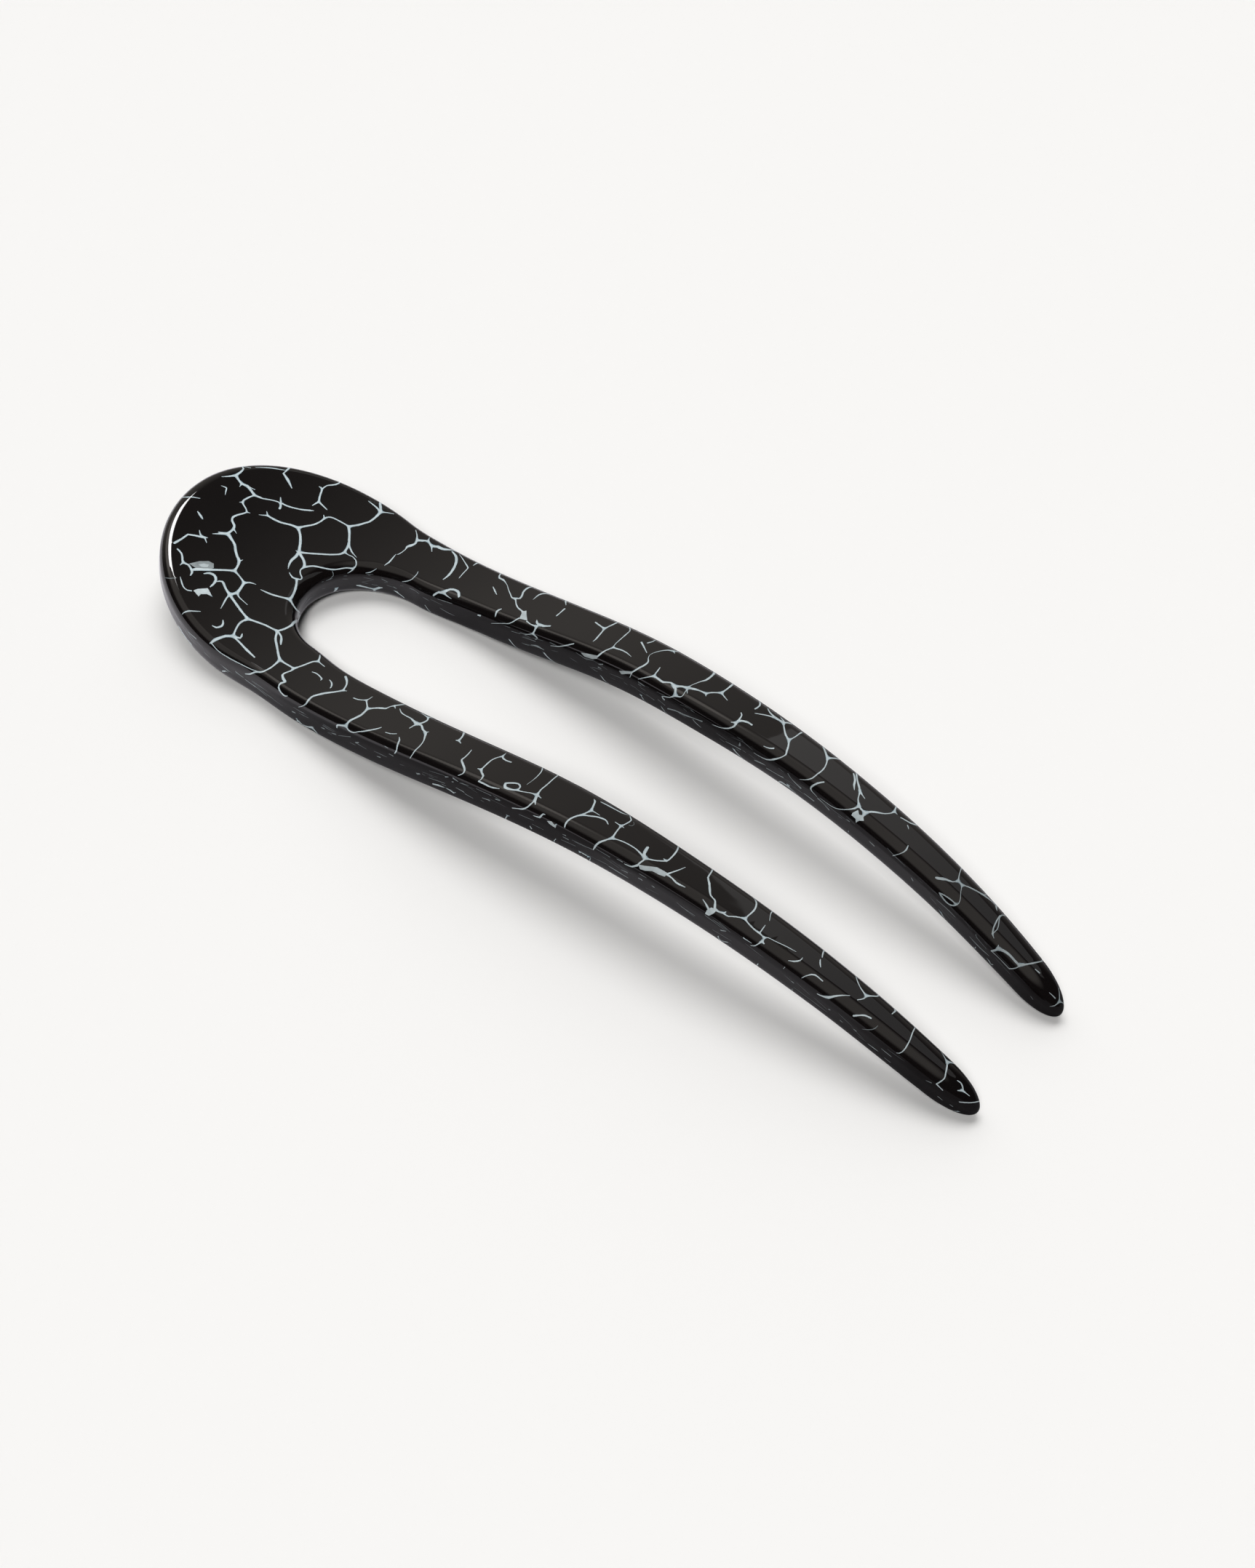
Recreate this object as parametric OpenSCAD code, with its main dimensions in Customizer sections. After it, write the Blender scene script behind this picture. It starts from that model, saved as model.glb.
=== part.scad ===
// French hair pin: one sheet of cellulose acetate, sawn to a U with a broad round head,
// rounded on every edge and bent along its length to follow the back of the wearer's head.
// Millimetres. X runs from the pin's head to its tips, Y across the two prongs, and Z up from
// the surface that the pin lies on. It touches that surface under the head and with both tips.

/* [Sheet] */
// Length of the flat blank, from the end of the head to the tips
blank_l = 120; // [95:1:150]
// Thickness of the sheet
sheet_t = 4; // [3:0.1:5]
// Rounding of the edges
edge_r = 1.5; // [0.5:0.1:2]

/* [Head] */
// Width of the head
head_w = 28.6; // [24:0.1:36]
// Distance from the end of the head to its widest place
head_l = 19; // [15:0.1:26]

/* [Slot] */
// Solid length between the end of the head and the slot
bridge_l = 19.4; // [12:0.1:28]
// Width of the slot where its round end meets the prongs
slot_w = 13.8; // [9:0.1:17]
// Length of the slot's round end
slot_end_l = 8; // [5:0.1:12]

/* [Prongs] */
// Distance between the outer edges of the prongs at the tips
tip_span = 17.2; // [13:0.1:28]
// Width of a prong at its tip, where the nose rounds it off
tip_w = 2.8; // [2:0.1:4]
// Length of the rounded nose
nose_l = 4.4; // [2:0.1:7]
// How much further the prong on the -Y side reaches than the other one
tip_stagger = 2.6; // [0:0.1:4]

/* [Bend] */
// Steepness of the bend at the tips, in degrees
tip_slope = 24; // [10:1:30]

/* [Hidden] */

// Tables, with a row for each section. The first column is PLACE, a share of the way along the
// stretch that the table covers. The other columns are smoothed from row to row.
PLACE = 0;

// Outer edge of each prong, from the widest place of the head to the tip. The pin is sawn by
// hand, so its two sides differ a little: OUT_PLUS is for the prong on the +Y side and OUT_MINUS
// for the one on the -Y side. Both are shares of the way out from tip_span to head_w.
OUT_PLUS = 1;
OUT_MINUS = 2;
OUTLINE = [
    [0.00, 0.900, 1.100],
    [0.06, 0.970, 1.000],
    [0.13, 1.030, 1.030],
    [0.28, 1.050, 1.030],
    [0.38, 0.990, 0.965],
    [0.53, 0.810, 0.770],
    [0.68, 0.615, 0.575],
    [0.83, 0.385, 0.365],
    [0.93, 0.175, 0.190],
    [1.00, 0.000, 0.000]
];

// Width of a prong, from where the round end of the slot meets it to the tip.
// WIDE is a share of the way up from tip_w to the width at the slot's end.
WIDE = 1;
TAPER = [
    [0.00, 1.000],
    [0.07, 0.900],
    [0.15, 0.860],
    [0.30, 0.740],
    [0.45, 0.660],
    [0.62, 0.475],
    [0.80, 0.330],
    [0.92, 0.180],
    [1.00, 0.000]
];

// Bend of the sheet, from the end of the head to the tips.
// SLOPE is a share of tip_slope, above 0 where the sheet climbs on its way to the tips.
SLOPE = 1;
BEND = [
    [0.00, -0.79],
    [0.14, -0.43],
    [0.28, 0.27],
    [0.42, 0.48],
    [0.56, 0.22],
    [0.70, -0.11],
    [0.85, -0.49],
    [1.00, -1.00]
];

// Sections round half of the head, along a prong and round a nose
head_n = 16;
prong_n = 44;
nose_n = 6;
// Steps round each edge of a section, and across its flat
corner_n = 4;
flat_n = 4;
// Steps in which the bend is added up
bend_n = 240;

// Rounding takes at most this share of half a section, so that a narrow flat is left
round_share = 0.96;
colour = [0.13, 0.125, 0.13];

// A smooth curve through the rows of a table
function rise(table, column, i) =
    (table[i + 1][column] - table[i][column]) / (table[i + 1][PLACE] - table[i][PLACE]);

// The curve's slope at row i: level at the first row, a straight run to the last one, and
// between the rises before and after any other row
function slope_at(table, column, i) =
    i == 0 ? 0
    : i == len(table) - 1 ? rise(table, column, i - 1)
    : let (
        before = table[i][PLACE] - table[i - 1][PLACE],
        after = table[i + 1][PLACE] - table[i][PLACE]
    )
    (rise(table, column, i) * before + rise(table, column, i - 1) * after) / (before + after);

// The last row at or before a place, short of the last row of all
function row_at(table, place, i = 0) =
    i == len(table) - 2 || place < table[i + 1][PLACE] ? i : row_at(table, place, i + 1);

// The curve's height at a place
function smooth(table, column, place) =
    let (
        i = row_at(table, place),
        span = table[i + 1][PLACE] - table[i][PLACE],
        s = (place - table[i][PLACE]) / span
    )
    table[i][column] * (1 + 2 * s) * pow(1 - s, 2)
    + slope_at(table, column, i) * span * s * pow(1 - s, 2)
    + table[i + 1][column] * (3 - 2 * s) * pow(s, 2)
    - slope_at(table, column, i + 1) * span * (1 - s) * pow(s, 2);

// The flat blank. u runs along it from the end of the head, and y across it. A side is 1 for
// the half of the pin on the +Y side and -1 for the other, and y is taken as above 0 on both.
// Distance of a prong's outer edge from the middle
function outer_y(u, side) =
    let (out = smooth(OUTLINE, side > 0 ? OUT_PLUS : OUT_MINUS, (u - head_l) / (blank_l - head_l)))
    (tip_span + (head_w - tip_span) * out) / 2;

// Where the round end of the slot meets the prongs, and the width of a prong there
slot_start = bridge_l + slot_end_l;
function root_w(side) = outer_y(slot_start, side) - slot_w / 2;

// Width of a prong, and the distance of its inner edge from the middle
function prong_w(u, side) =
    let (wide = smooth(TAPER, WIDE, (u - slot_start) / (blank_l - slot_start)))
    tip_w + (root_w(side) - tip_w) * wide;
function inner_y(u, side) = outer_y(u, side) - prong_w(u, side);

// A section is [outer point, inner point, size], where the size shrinks to 0 round the nose.
// Sections fan out from the slot's end round the head: turn is 0 in the middle, 90 at its side.
function head_section(turn, side) = [
    [head_l * (1 - cos(turn)), outer_y(head_l, side) * sin(turn)],
    [bridge_l + slot_end_l * (1 - cos(turn)), slot_w / 2 * sin(turn)],
    1
];

// Sections along a prong: share is 0 at the head's side and 1 where the nose begins
function prong_section(share, side) =
    let (
        u_out = head_l + (blank_l - nose_l - head_l) * share,
        u_in = slot_start + (blank_l - nose_l - slot_start) * share
    )
    [[u_out, outer_y(u_out, side)], [u_in, inner_y(u_in, side)], 1];

// Sections round the nose: turn is 0 where it begins and 90 at the tip
function nose_section(turn, side) =
    let (
        u = blank_l - nose_l * (1 - sin(turn)),
        middle = (outer_y(u, side) + inner_y(u, side)) / 2,
        half = prong_w(u, side) / 2 * cos(turn)
    )
    [[u, middle + half], [u, middle - half], cos(turn)];

function half_pin(side) = [
    for (i = [0:head_n]) head_section(90 * i / head_n, side),
    for (i = [1:prong_n]) prong_section(i / prong_n, side),
    for (i = [1:nose_n - 1]) nose_section(90 * i / nose_n, side)
];
last = head_n + prong_n + nose_n - 1;

// The bend: where the middle of the sheet gets to in side view, added up from the head's end
bend_step = blank_l / bend_n;
function sheet_slope(u) = tip_slope * smooth(BEND, SLOPE, u / blank_l);
step_slopes = [for (i = [0:bend_n]) sheet_slope((i + 0.5) * bend_step)];
bend_x = [
    for (i = 0, x = 0; i <= bend_n; x = x + bend_step * cos(step_slopes[i]), i = i + 1)
        [i * bend_step, x]
];
bend_z = [
    for (i = 0, z = 0; i <= bend_n; z = z + bend_step * sin(step_slopes[i]), i = i + 1)
        [i * bend_step, z]
];

// A point of the blank, h above its middle, bent into place on one side (1 or -1) of the pin
function bent(u, y, h, side) =
    let (
        slope = sheet_slope(u),
        reach = max(0, (u - head_l) / (blank_l - head_l)) * tip_stagger / 2
    )
    [
        lookup(u, bend_x) - h * sin(slope) - side * reach,
        side * y,
        lookup(u, bend_z) + h * cos(slope)
    ];

// Outline of a section as [across, h], with rounded corners: bottom outer, top outer, top
// inner, bottom inner, and points across the top and the bottom
function ring(w, t, r) = [
    for (corner = [0:3])
        let (
            out = corner < 2 ? 1 : -1,
            up = corner == 1 || corner == 2 ? 1 : -1,
            crosses = corner % 2 == 1
        )
        each [
            for (i = [0:corner_n])
                let (angle = 90 * (corner - 1 + i / corner_n))
                [out * (w / 2 - r) + r * cos(angle), up * (t / 2 - r) + r * sin(angle)],
            if (crosses)
                for (i = [1:flat_n - 1])
                    [out * (w / 2 - r) * (1 - 2 * i / flat_n), up * t / 2]
        ]
];

// The bent points of one section
function section_points(section, side) =
    let (
        out = section[0],
        in = section[1],
        size = section[2],
        w = norm(out - in),
        way = (out - in) / w,
        t = sheet_t * size,
        r = min(edge_r * size, round_share * w / 2, round_share * t / 2)
    )
    [
        for (p = ring(w, t, r))
            let (flat = in + way * (p[0] + w / 2))
            bent(flat[0], flat[1], p[1], side)
    ];

function tip_point(side) =
    bent(blank_l, (outer_y(blank_l, side) + inner_y(blank_l, side)) / 2, 0, side);

// All points of the pin, section by section from one tip round the head to the other
plus_half = half_pin(1);
minus_half = half_pin(-1);
rings = [
    for (i = [last:-1:1]) section_points(plus_half[i], 1),
    for (i = [0:last]) section_points(minus_half[i], -1)
];
bent_points = [for (r = rings) each r, tip_point(1), tip_point(-1)];

// How it lies: tipped until its head and its tips are equally low
function lowest(points) =
    let (low = min([for (p = points) p[2]]))
    [for (p = points) if (p[2] == low) p][0];
under_head = lowest([for (p = bent_points) if (p[0] < blank_l / 2) p]);
under_tips = lowest([for (p = bent_points) if (p[0] > blank_l / 2) p]);
pitch = atan2(under_tips[2] - under_head[2], under_tips[0] - under_head[0]);
lying = [
    for (p = bent_points)
        [p[0] * cos(pitch) + p[2] * sin(pitch), p[1], p[2] * cos(pitch) - p[0] * sin(pitch)]
];

// The origin is under the middle of its box, on the surface
function middle_of(values) = (min(values) + max(values)) / 2;
origin = [
    middle_of([for (p = lying) p[0]]),
    middle_of([for (p = lying) p[1]]),
    lowest(lying)[2]
];

// Modules
module pin() {
    ring_n = len(rings[0]);
    last_ring = (len(rings) - 1) * ring_n;
    first_tip = len(rings) * ring_n;
    sides = [
        for (i = [0:len(rings) - 2], j = [0:ring_n - 1])
            let (
                a = i * ring_n + j,
                b = i * ring_n + (j + 1) % ring_n
            )
            each [[a, b, b + ring_n], [a, b + ring_n, a + ring_n]]
    ];
    noses = [
        for (j = [0:ring_n - 1])
            let (next = (j + 1) % ring_n)
            each [[first_tip, next, j], [first_tip + 1, last_ring + j, last_ring + next]]
    ];
    color(colour)
        translate(-origin)
            polyhedron(points = lying, faces = concat(sides, noses), convexity = 10);
}

pin();
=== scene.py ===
"""French hair pin of black acetate with a net of fine pale crackle lines, on a pale surface."""

import math
import random

import bpy
import numpy as np
from mathutils import Matrix, Quaternion, Vector
from mathutils.geometry import delaunay_2d_cdt
from mathutils.kdtree import KDTree


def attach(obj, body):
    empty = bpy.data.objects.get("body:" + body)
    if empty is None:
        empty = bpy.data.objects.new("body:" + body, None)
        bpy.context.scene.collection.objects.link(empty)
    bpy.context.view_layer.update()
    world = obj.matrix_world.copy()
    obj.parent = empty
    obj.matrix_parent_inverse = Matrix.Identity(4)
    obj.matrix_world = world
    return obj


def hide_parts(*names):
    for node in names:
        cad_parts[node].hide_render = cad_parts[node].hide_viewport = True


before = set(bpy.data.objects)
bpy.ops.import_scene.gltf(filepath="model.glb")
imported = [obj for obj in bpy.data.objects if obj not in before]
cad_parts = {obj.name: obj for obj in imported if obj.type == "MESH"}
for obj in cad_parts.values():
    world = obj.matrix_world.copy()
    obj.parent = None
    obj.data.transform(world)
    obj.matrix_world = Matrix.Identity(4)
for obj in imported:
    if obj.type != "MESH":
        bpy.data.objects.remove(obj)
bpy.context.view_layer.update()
rng = random.Random(7)

# The pin's form, with the sizes and tables of the part's source, in millimetres
MM = 0.001
BLANK_L, SHEET_T, EDGE_R = 120.0, 4.0, 1.5
HEAD_W, HEAD_L = 28.6, 19.0
BRIDGE_L, SLOT_W, SLOT_END_L = 19.4, 13.8, 8.0
TIP_SPAN, TIP_W, NOSE_L, TIP_STAGGER = 17.2, 2.8, 4.4, 2.6
TIP_SLOPE = 24.0
ROUND_SHARE = 0.96
SLOT_START = BRIDGE_L + SLOT_END_L

# Rows are place, outline on the +Y side, outline on the -Y side
OUTLINE = np.array([
    (0.00, 0.900, 1.100), (0.06, 0.970, 1.000), (0.13, 1.030, 1.030), (0.28, 1.050, 1.030),
    (0.38, 0.990, 0.965), (0.53, 0.810, 0.770), (0.68, 0.615, 0.575), (0.83, 0.385, 0.365),
    (0.93, 0.175, 0.190), (1.00, 0.000, 0.000)])
# Rows are place, width
TAPER = np.array([
    (0.00, 1.000), (0.07, 0.900), (0.15, 0.860), (0.30, 0.740), (0.45, 0.660), (0.62, 0.475),
    (0.80, 0.330), (0.92, 0.180), (1.00, 0.000)])
# Rows are place, slope
BEND = np.array([
    (0.00, -0.79), (0.14, -0.43), (0.28, 0.27), (0.42, 0.48), (0.56, 0.22), (0.70, -0.11),
    (0.85, -0.49), (1.00, -1.00)])

# Sections round half of the head, along a prong and round a nose, and the last one's number
HEAD_N, PRONG_N, NOSE_N = 48, 184, 16
LAST = HEAD_N + PRONG_N + NOSE_N
# Share of its size that the last section keeps
NOSE_END = 1e-4
# Steps over each rounding and down each wall, and the length of a step across the flat
CORNER_N, WALL_N, FLAT_STEP = 8, 2, 0.8
# Step from which a normal is worked out
NEAR = 0.02
# Points worked on at once, which keeps the arrays small
BATCH = 2000


def smooth(table, column, place):
    """The smooth curve through a column of a table, as in the part's source."""
    xs, ys = table[:, 0], table[:, column]
    gaps = np.diff(xs)
    rises = np.diff(ys) / gaps
    slopes = np.empty(len(xs))
    slopes[0], slopes[-1] = 0, rises[-1]
    slopes[1:-1] = (rises[1:] * gaps[:-1] + rises[:-1] * gaps[1:]) / (gaps[1:] + gaps[:-1])
    i = np.clip(np.searchsorted(xs, place, side="right") - 1, 0, len(xs) - 2)
    s = (place - xs[i]) / gaps[i]
    return (ys[i] * (1 + 2 * s) * (1 - s) ** 2 + slopes[i] * gaps[i] * s * (1 - s) ** 2
            + ys[i + 1] * (3 - 2 * s) * s ** 2 - slopes[i + 1] * gaps[i] * (1 - s) * s ** 2)


def outer_y(u, side):
    """Distance of a prong's outer edge from the middle of the flat blank."""
    out = smooth(OUTLINE, 1 if side > 0 else 2, (u - HEAD_L) / (BLANK_L - HEAD_L))
    return (TIP_SPAN + (HEAD_W - TIP_SPAN) * out) / 2


def prong_w(u, side):
    """Width of a prong."""
    root = outer_y(np.array(SLOT_START), side) - SLOT_W / 2
    return TIP_W + (root - TIP_W) * smooth(TAPER, 1, (u - SLOT_START) / (BLANK_L - SLOT_START))


def slope_at(u):
    """Slope of the bent sheet, in radians."""
    return np.radians(TIP_SLOPE * smooth(BEND, 1, np.clip(u, 0, BLANK_L) / BLANK_L))


# The bend, added up in small steps from the head's end
BEND_N = 480
BEND_STEP = BLANK_L / BEND_N
BEND_AT = np.linspace(0, BLANK_L, BEND_N + 1)
STEP_SLOPES = slope_at((BEND_AT[1:] + BEND_AT[:-1]) / 2)
BENT_X = np.concatenate([[0], np.cumsum(np.cos(STEP_SLOPES) * BEND_STEP)])
BENT_Z = np.concatenate([[0], np.cumsum(np.sin(STEP_SLOPES) * BEND_STEP)])


def unit(ways):
    """Rows of a table as directions of length 1."""
    return ways / np.maximum(np.linalg.norm(ways, axis=1), 1e-12)[:, None]


class Half:
    """The sections of one half of the pin, from the middle of the head to a tip."""

    def __init__(self, side):
        turn = np.radians(np.linspace(0, 90, HEAD_N + 1))
        share = np.linspace(0, 1, PRONG_N + 1)[1:]
        nose = np.radians(np.linspace(0, 90, NOSE_N + 1))[1:]
        nose_size = np.maximum(np.cos(nose), NOSE_END)
        u_out = HEAD_L + (BLANK_L - NOSE_L - HEAD_L) * share
        u_in = SLOT_START + (BLANK_L - NOSE_L - SLOT_START) * share
        u_nose = BLANK_L - NOSE_L * (1 - np.sin(nose))
        middle = outer_y(u_nose, side) - prong_w(u_nose, side) / 2
        half = prong_w(u_nose, side) / 2 * nose_size
        self.out = np.concatenate([
            np.stack([HEAD_L * (1 - np.cos(turn)),
                      outer_y(np.array(HEAD_L), side) * np.sin(turn)], 1),
            np.stack([u_out, outer_y(u_out, side)], 1),
            np.stack([u_nose, middle + half], 1)])
        self.inn = np.concatenate([
            np.stack([BRIDGE_L + SLOT_END_L * (1 - np.cos(turn)), SLOT_W / 2 * np.sin(turn)], 1),
            np.stack([u_in, outer_y(u_in, side) - prong_w(u_in, side)], 1),
            np.stack([u_nose, middle - half], 1)])
        size = np.concatenate([np.ones(HEAD_N + 1 + PRONG_N), nose_size])
        across = self.out - self.inn
        self.w = np.linalg.norm(across, axis=1)
        self.way = across / self.w[:, None]
        self.t = SHEET_T * size
        self.r = np.minimum(np.minimum(EDGE_R * size, ROUND_SHARE * self.w / 2),
                            ROUND_SHARE * self.t / 2)

    def at(self, values, f):
        """The sections' values at places between sections."""
        i = np.clip(f.astype(int), 0, LAST - 1)
        share = f - i
        if values.ndim == 2:
            share = share[:, None]
        return values[i] * (1 - share) + values[i + 1] * share

    def find(self, points):
        """The places between sections of points of the unrolled map."""
        places = np.empty(len(points))
        for start in range(0, len(points), BATCH):
            part = points[start:start + BATCH]
            gap = part[:, None, :] - self.inn[None]
            turned = self.way[None, :, 0] * gap[..., 1] - self.way[None, :, 1] * gap[..., 0]
            beyond = turned <= 0
            i = np.where(beyond.any(1), LAST - np.argmax(beyond[:, ::-1], axis=1), 0)
            i = np.clip(i, 0, LAST - 1)
            rows = np.arange(len(part))
            here, there = turned[rows, i], turned[rows, i + 1]
            step = here - there
            share = np.where(np.abs(step) > 1e-9, here / np.where(step == 0, 1, step), 0)
            places[start:start + BATCH] = i + np.clip(share, 0, 1)
        return places

    def flat(self, f, x, held_out):
        """Places on the unbent sheet, and heights above its middle.

        x is the distance from the inner edge, run on over the rounding and down the wall.
        held_out says whether it is measured off the outer edge.
        """
        w, r, t = self.at(self.w, f), self.at(self.r, f), self.at(self.t, f)
        past = np.where(held_out, x - (w - r), r - x)
        angle = np.clip(past / r, 0, np.pi / 2)
        down = np.maximum(0, past - r * np.pi / 2)
        edge = np.where(held_out, w - r + r * np.sin(angle), r - r * np.sin(angle))
        across = np.where(past > 0, edge, x)
        spot = self.at(self.inn, f) + unit(self.at(self.way, f)) * across[:, None]
        return np.column_stack([spot, t / 2 - r + r * np.cos(angle) - down])

    def surface(self, points):
        """Unbent places and normals of points of the unrolled map."""
        f = self.find(points)
        x = np.sum((points - self.at(self.inn, f)) * unit(self.at(self.way, f)), 1)
        w = self.at(self.w, f)
        held_out = x > w / 2
        before, after = np.clip(f - 1, 0, LAST - NEAR), np.clip(f + 1, 0, LAST - NEAR / 2)
        shift = [np.where(held_out, self.at(self.w, g) - w, 0) for g in (before, after)]
        along = (self.flat(after, x + shift[1], held_out)
                 - self.flat(before, x + shift[0], held_out))
        wide = self.flat(f, x + NEAR, held_out) - self.flat(f, x - NEAR, held_out)
        return self.flat(f, x, held_out), unit(np.cross(along, wide))


HALVES = {1: Half(1), -1: Half(-1)}


def bent(spots, normals, side):
    """Bends unbent places and normals of one side of the pin along its length."""
    u, y, h = spots.T
    slope = slope_at(u)
    reach = np.maximum(0, (u - HEAD_L) / (BLANK_L - HEAD_L)) * TIP_STAGGER / 2
    places = np.column_stack([
        np.interp(u, BEND_AT, BENT_X) - h * np.sin(slope) - side * reach,
        side * y,
        np.interp(u, BEND_AT, BENT_Z) + h * np.cos(slope)])
    n_u, n_y, n_h = normals.T
    turned = np.column_stack([
        n_u * np.cos(slope) - n_h * np.sin(slope), side * n_y,
        n_u * np.sin(slope) + n_h * np.cos(slope)])
    return places, turned


def rim(half, wall):
    """How far the map runs past each edge: over the rounding and, with wall, down the wall."""
    past = half.r * np.pi / 2 - half.r
    return past + (half.t - 2 * half.r) * (1 if wall else 0)


def outline(wall):
    """The border of the unrolled map of the top with its walls, or of the bottom."""
    flip = np.array([1, -1])
    outs, inns, tips = [], [], []
    for half in HALVES.values():
        past = half.way[:-1] * rim(half, wall)[:-1, None]
        outs.append(half.out[:-1] + past)
        inns.append(half.inn[:-1] - past)
        tips.append((half.out[-1:] + half.inn[-1:]) / 2)
    return np.concatenate([outs[0][::-1], outs[1][1:] * flip, tips[1] * flip,
                           inns[1][::-1] * flip, inns[0][1:], tips[0]])


def filling(wall):
    """Points inside the map: section by section, finer over the rounded edges."""
    points = []
    for side, half in HALVES.items():
        for i in range(0 if side > 0 else 1, LAST):
            w, r, t = half.w[i], half.r[i], half.t[i]
            arc = r * np.pi / 2
            past = [arc * j / CORNER_N for j in range(CORNER_N + (1 if wall else 0))]
            if wall:
                past += [arc + (t - 2 * r) * j / WALL_N for j in range(1, WALL_N)]
            steps = max(1, round((w - 2 * r) / FLAT_STEP))
            xs = [w - r + p for p in past] + [r - p for p in past]
            xs += [r + (w - 2 * r) * j / steps for j in range(1, steps)]
            for x in xs:
                spot = half.inn[i] + half.way[i] * x
                points.append((spot[0], side * spot[1]))
    return points


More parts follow.
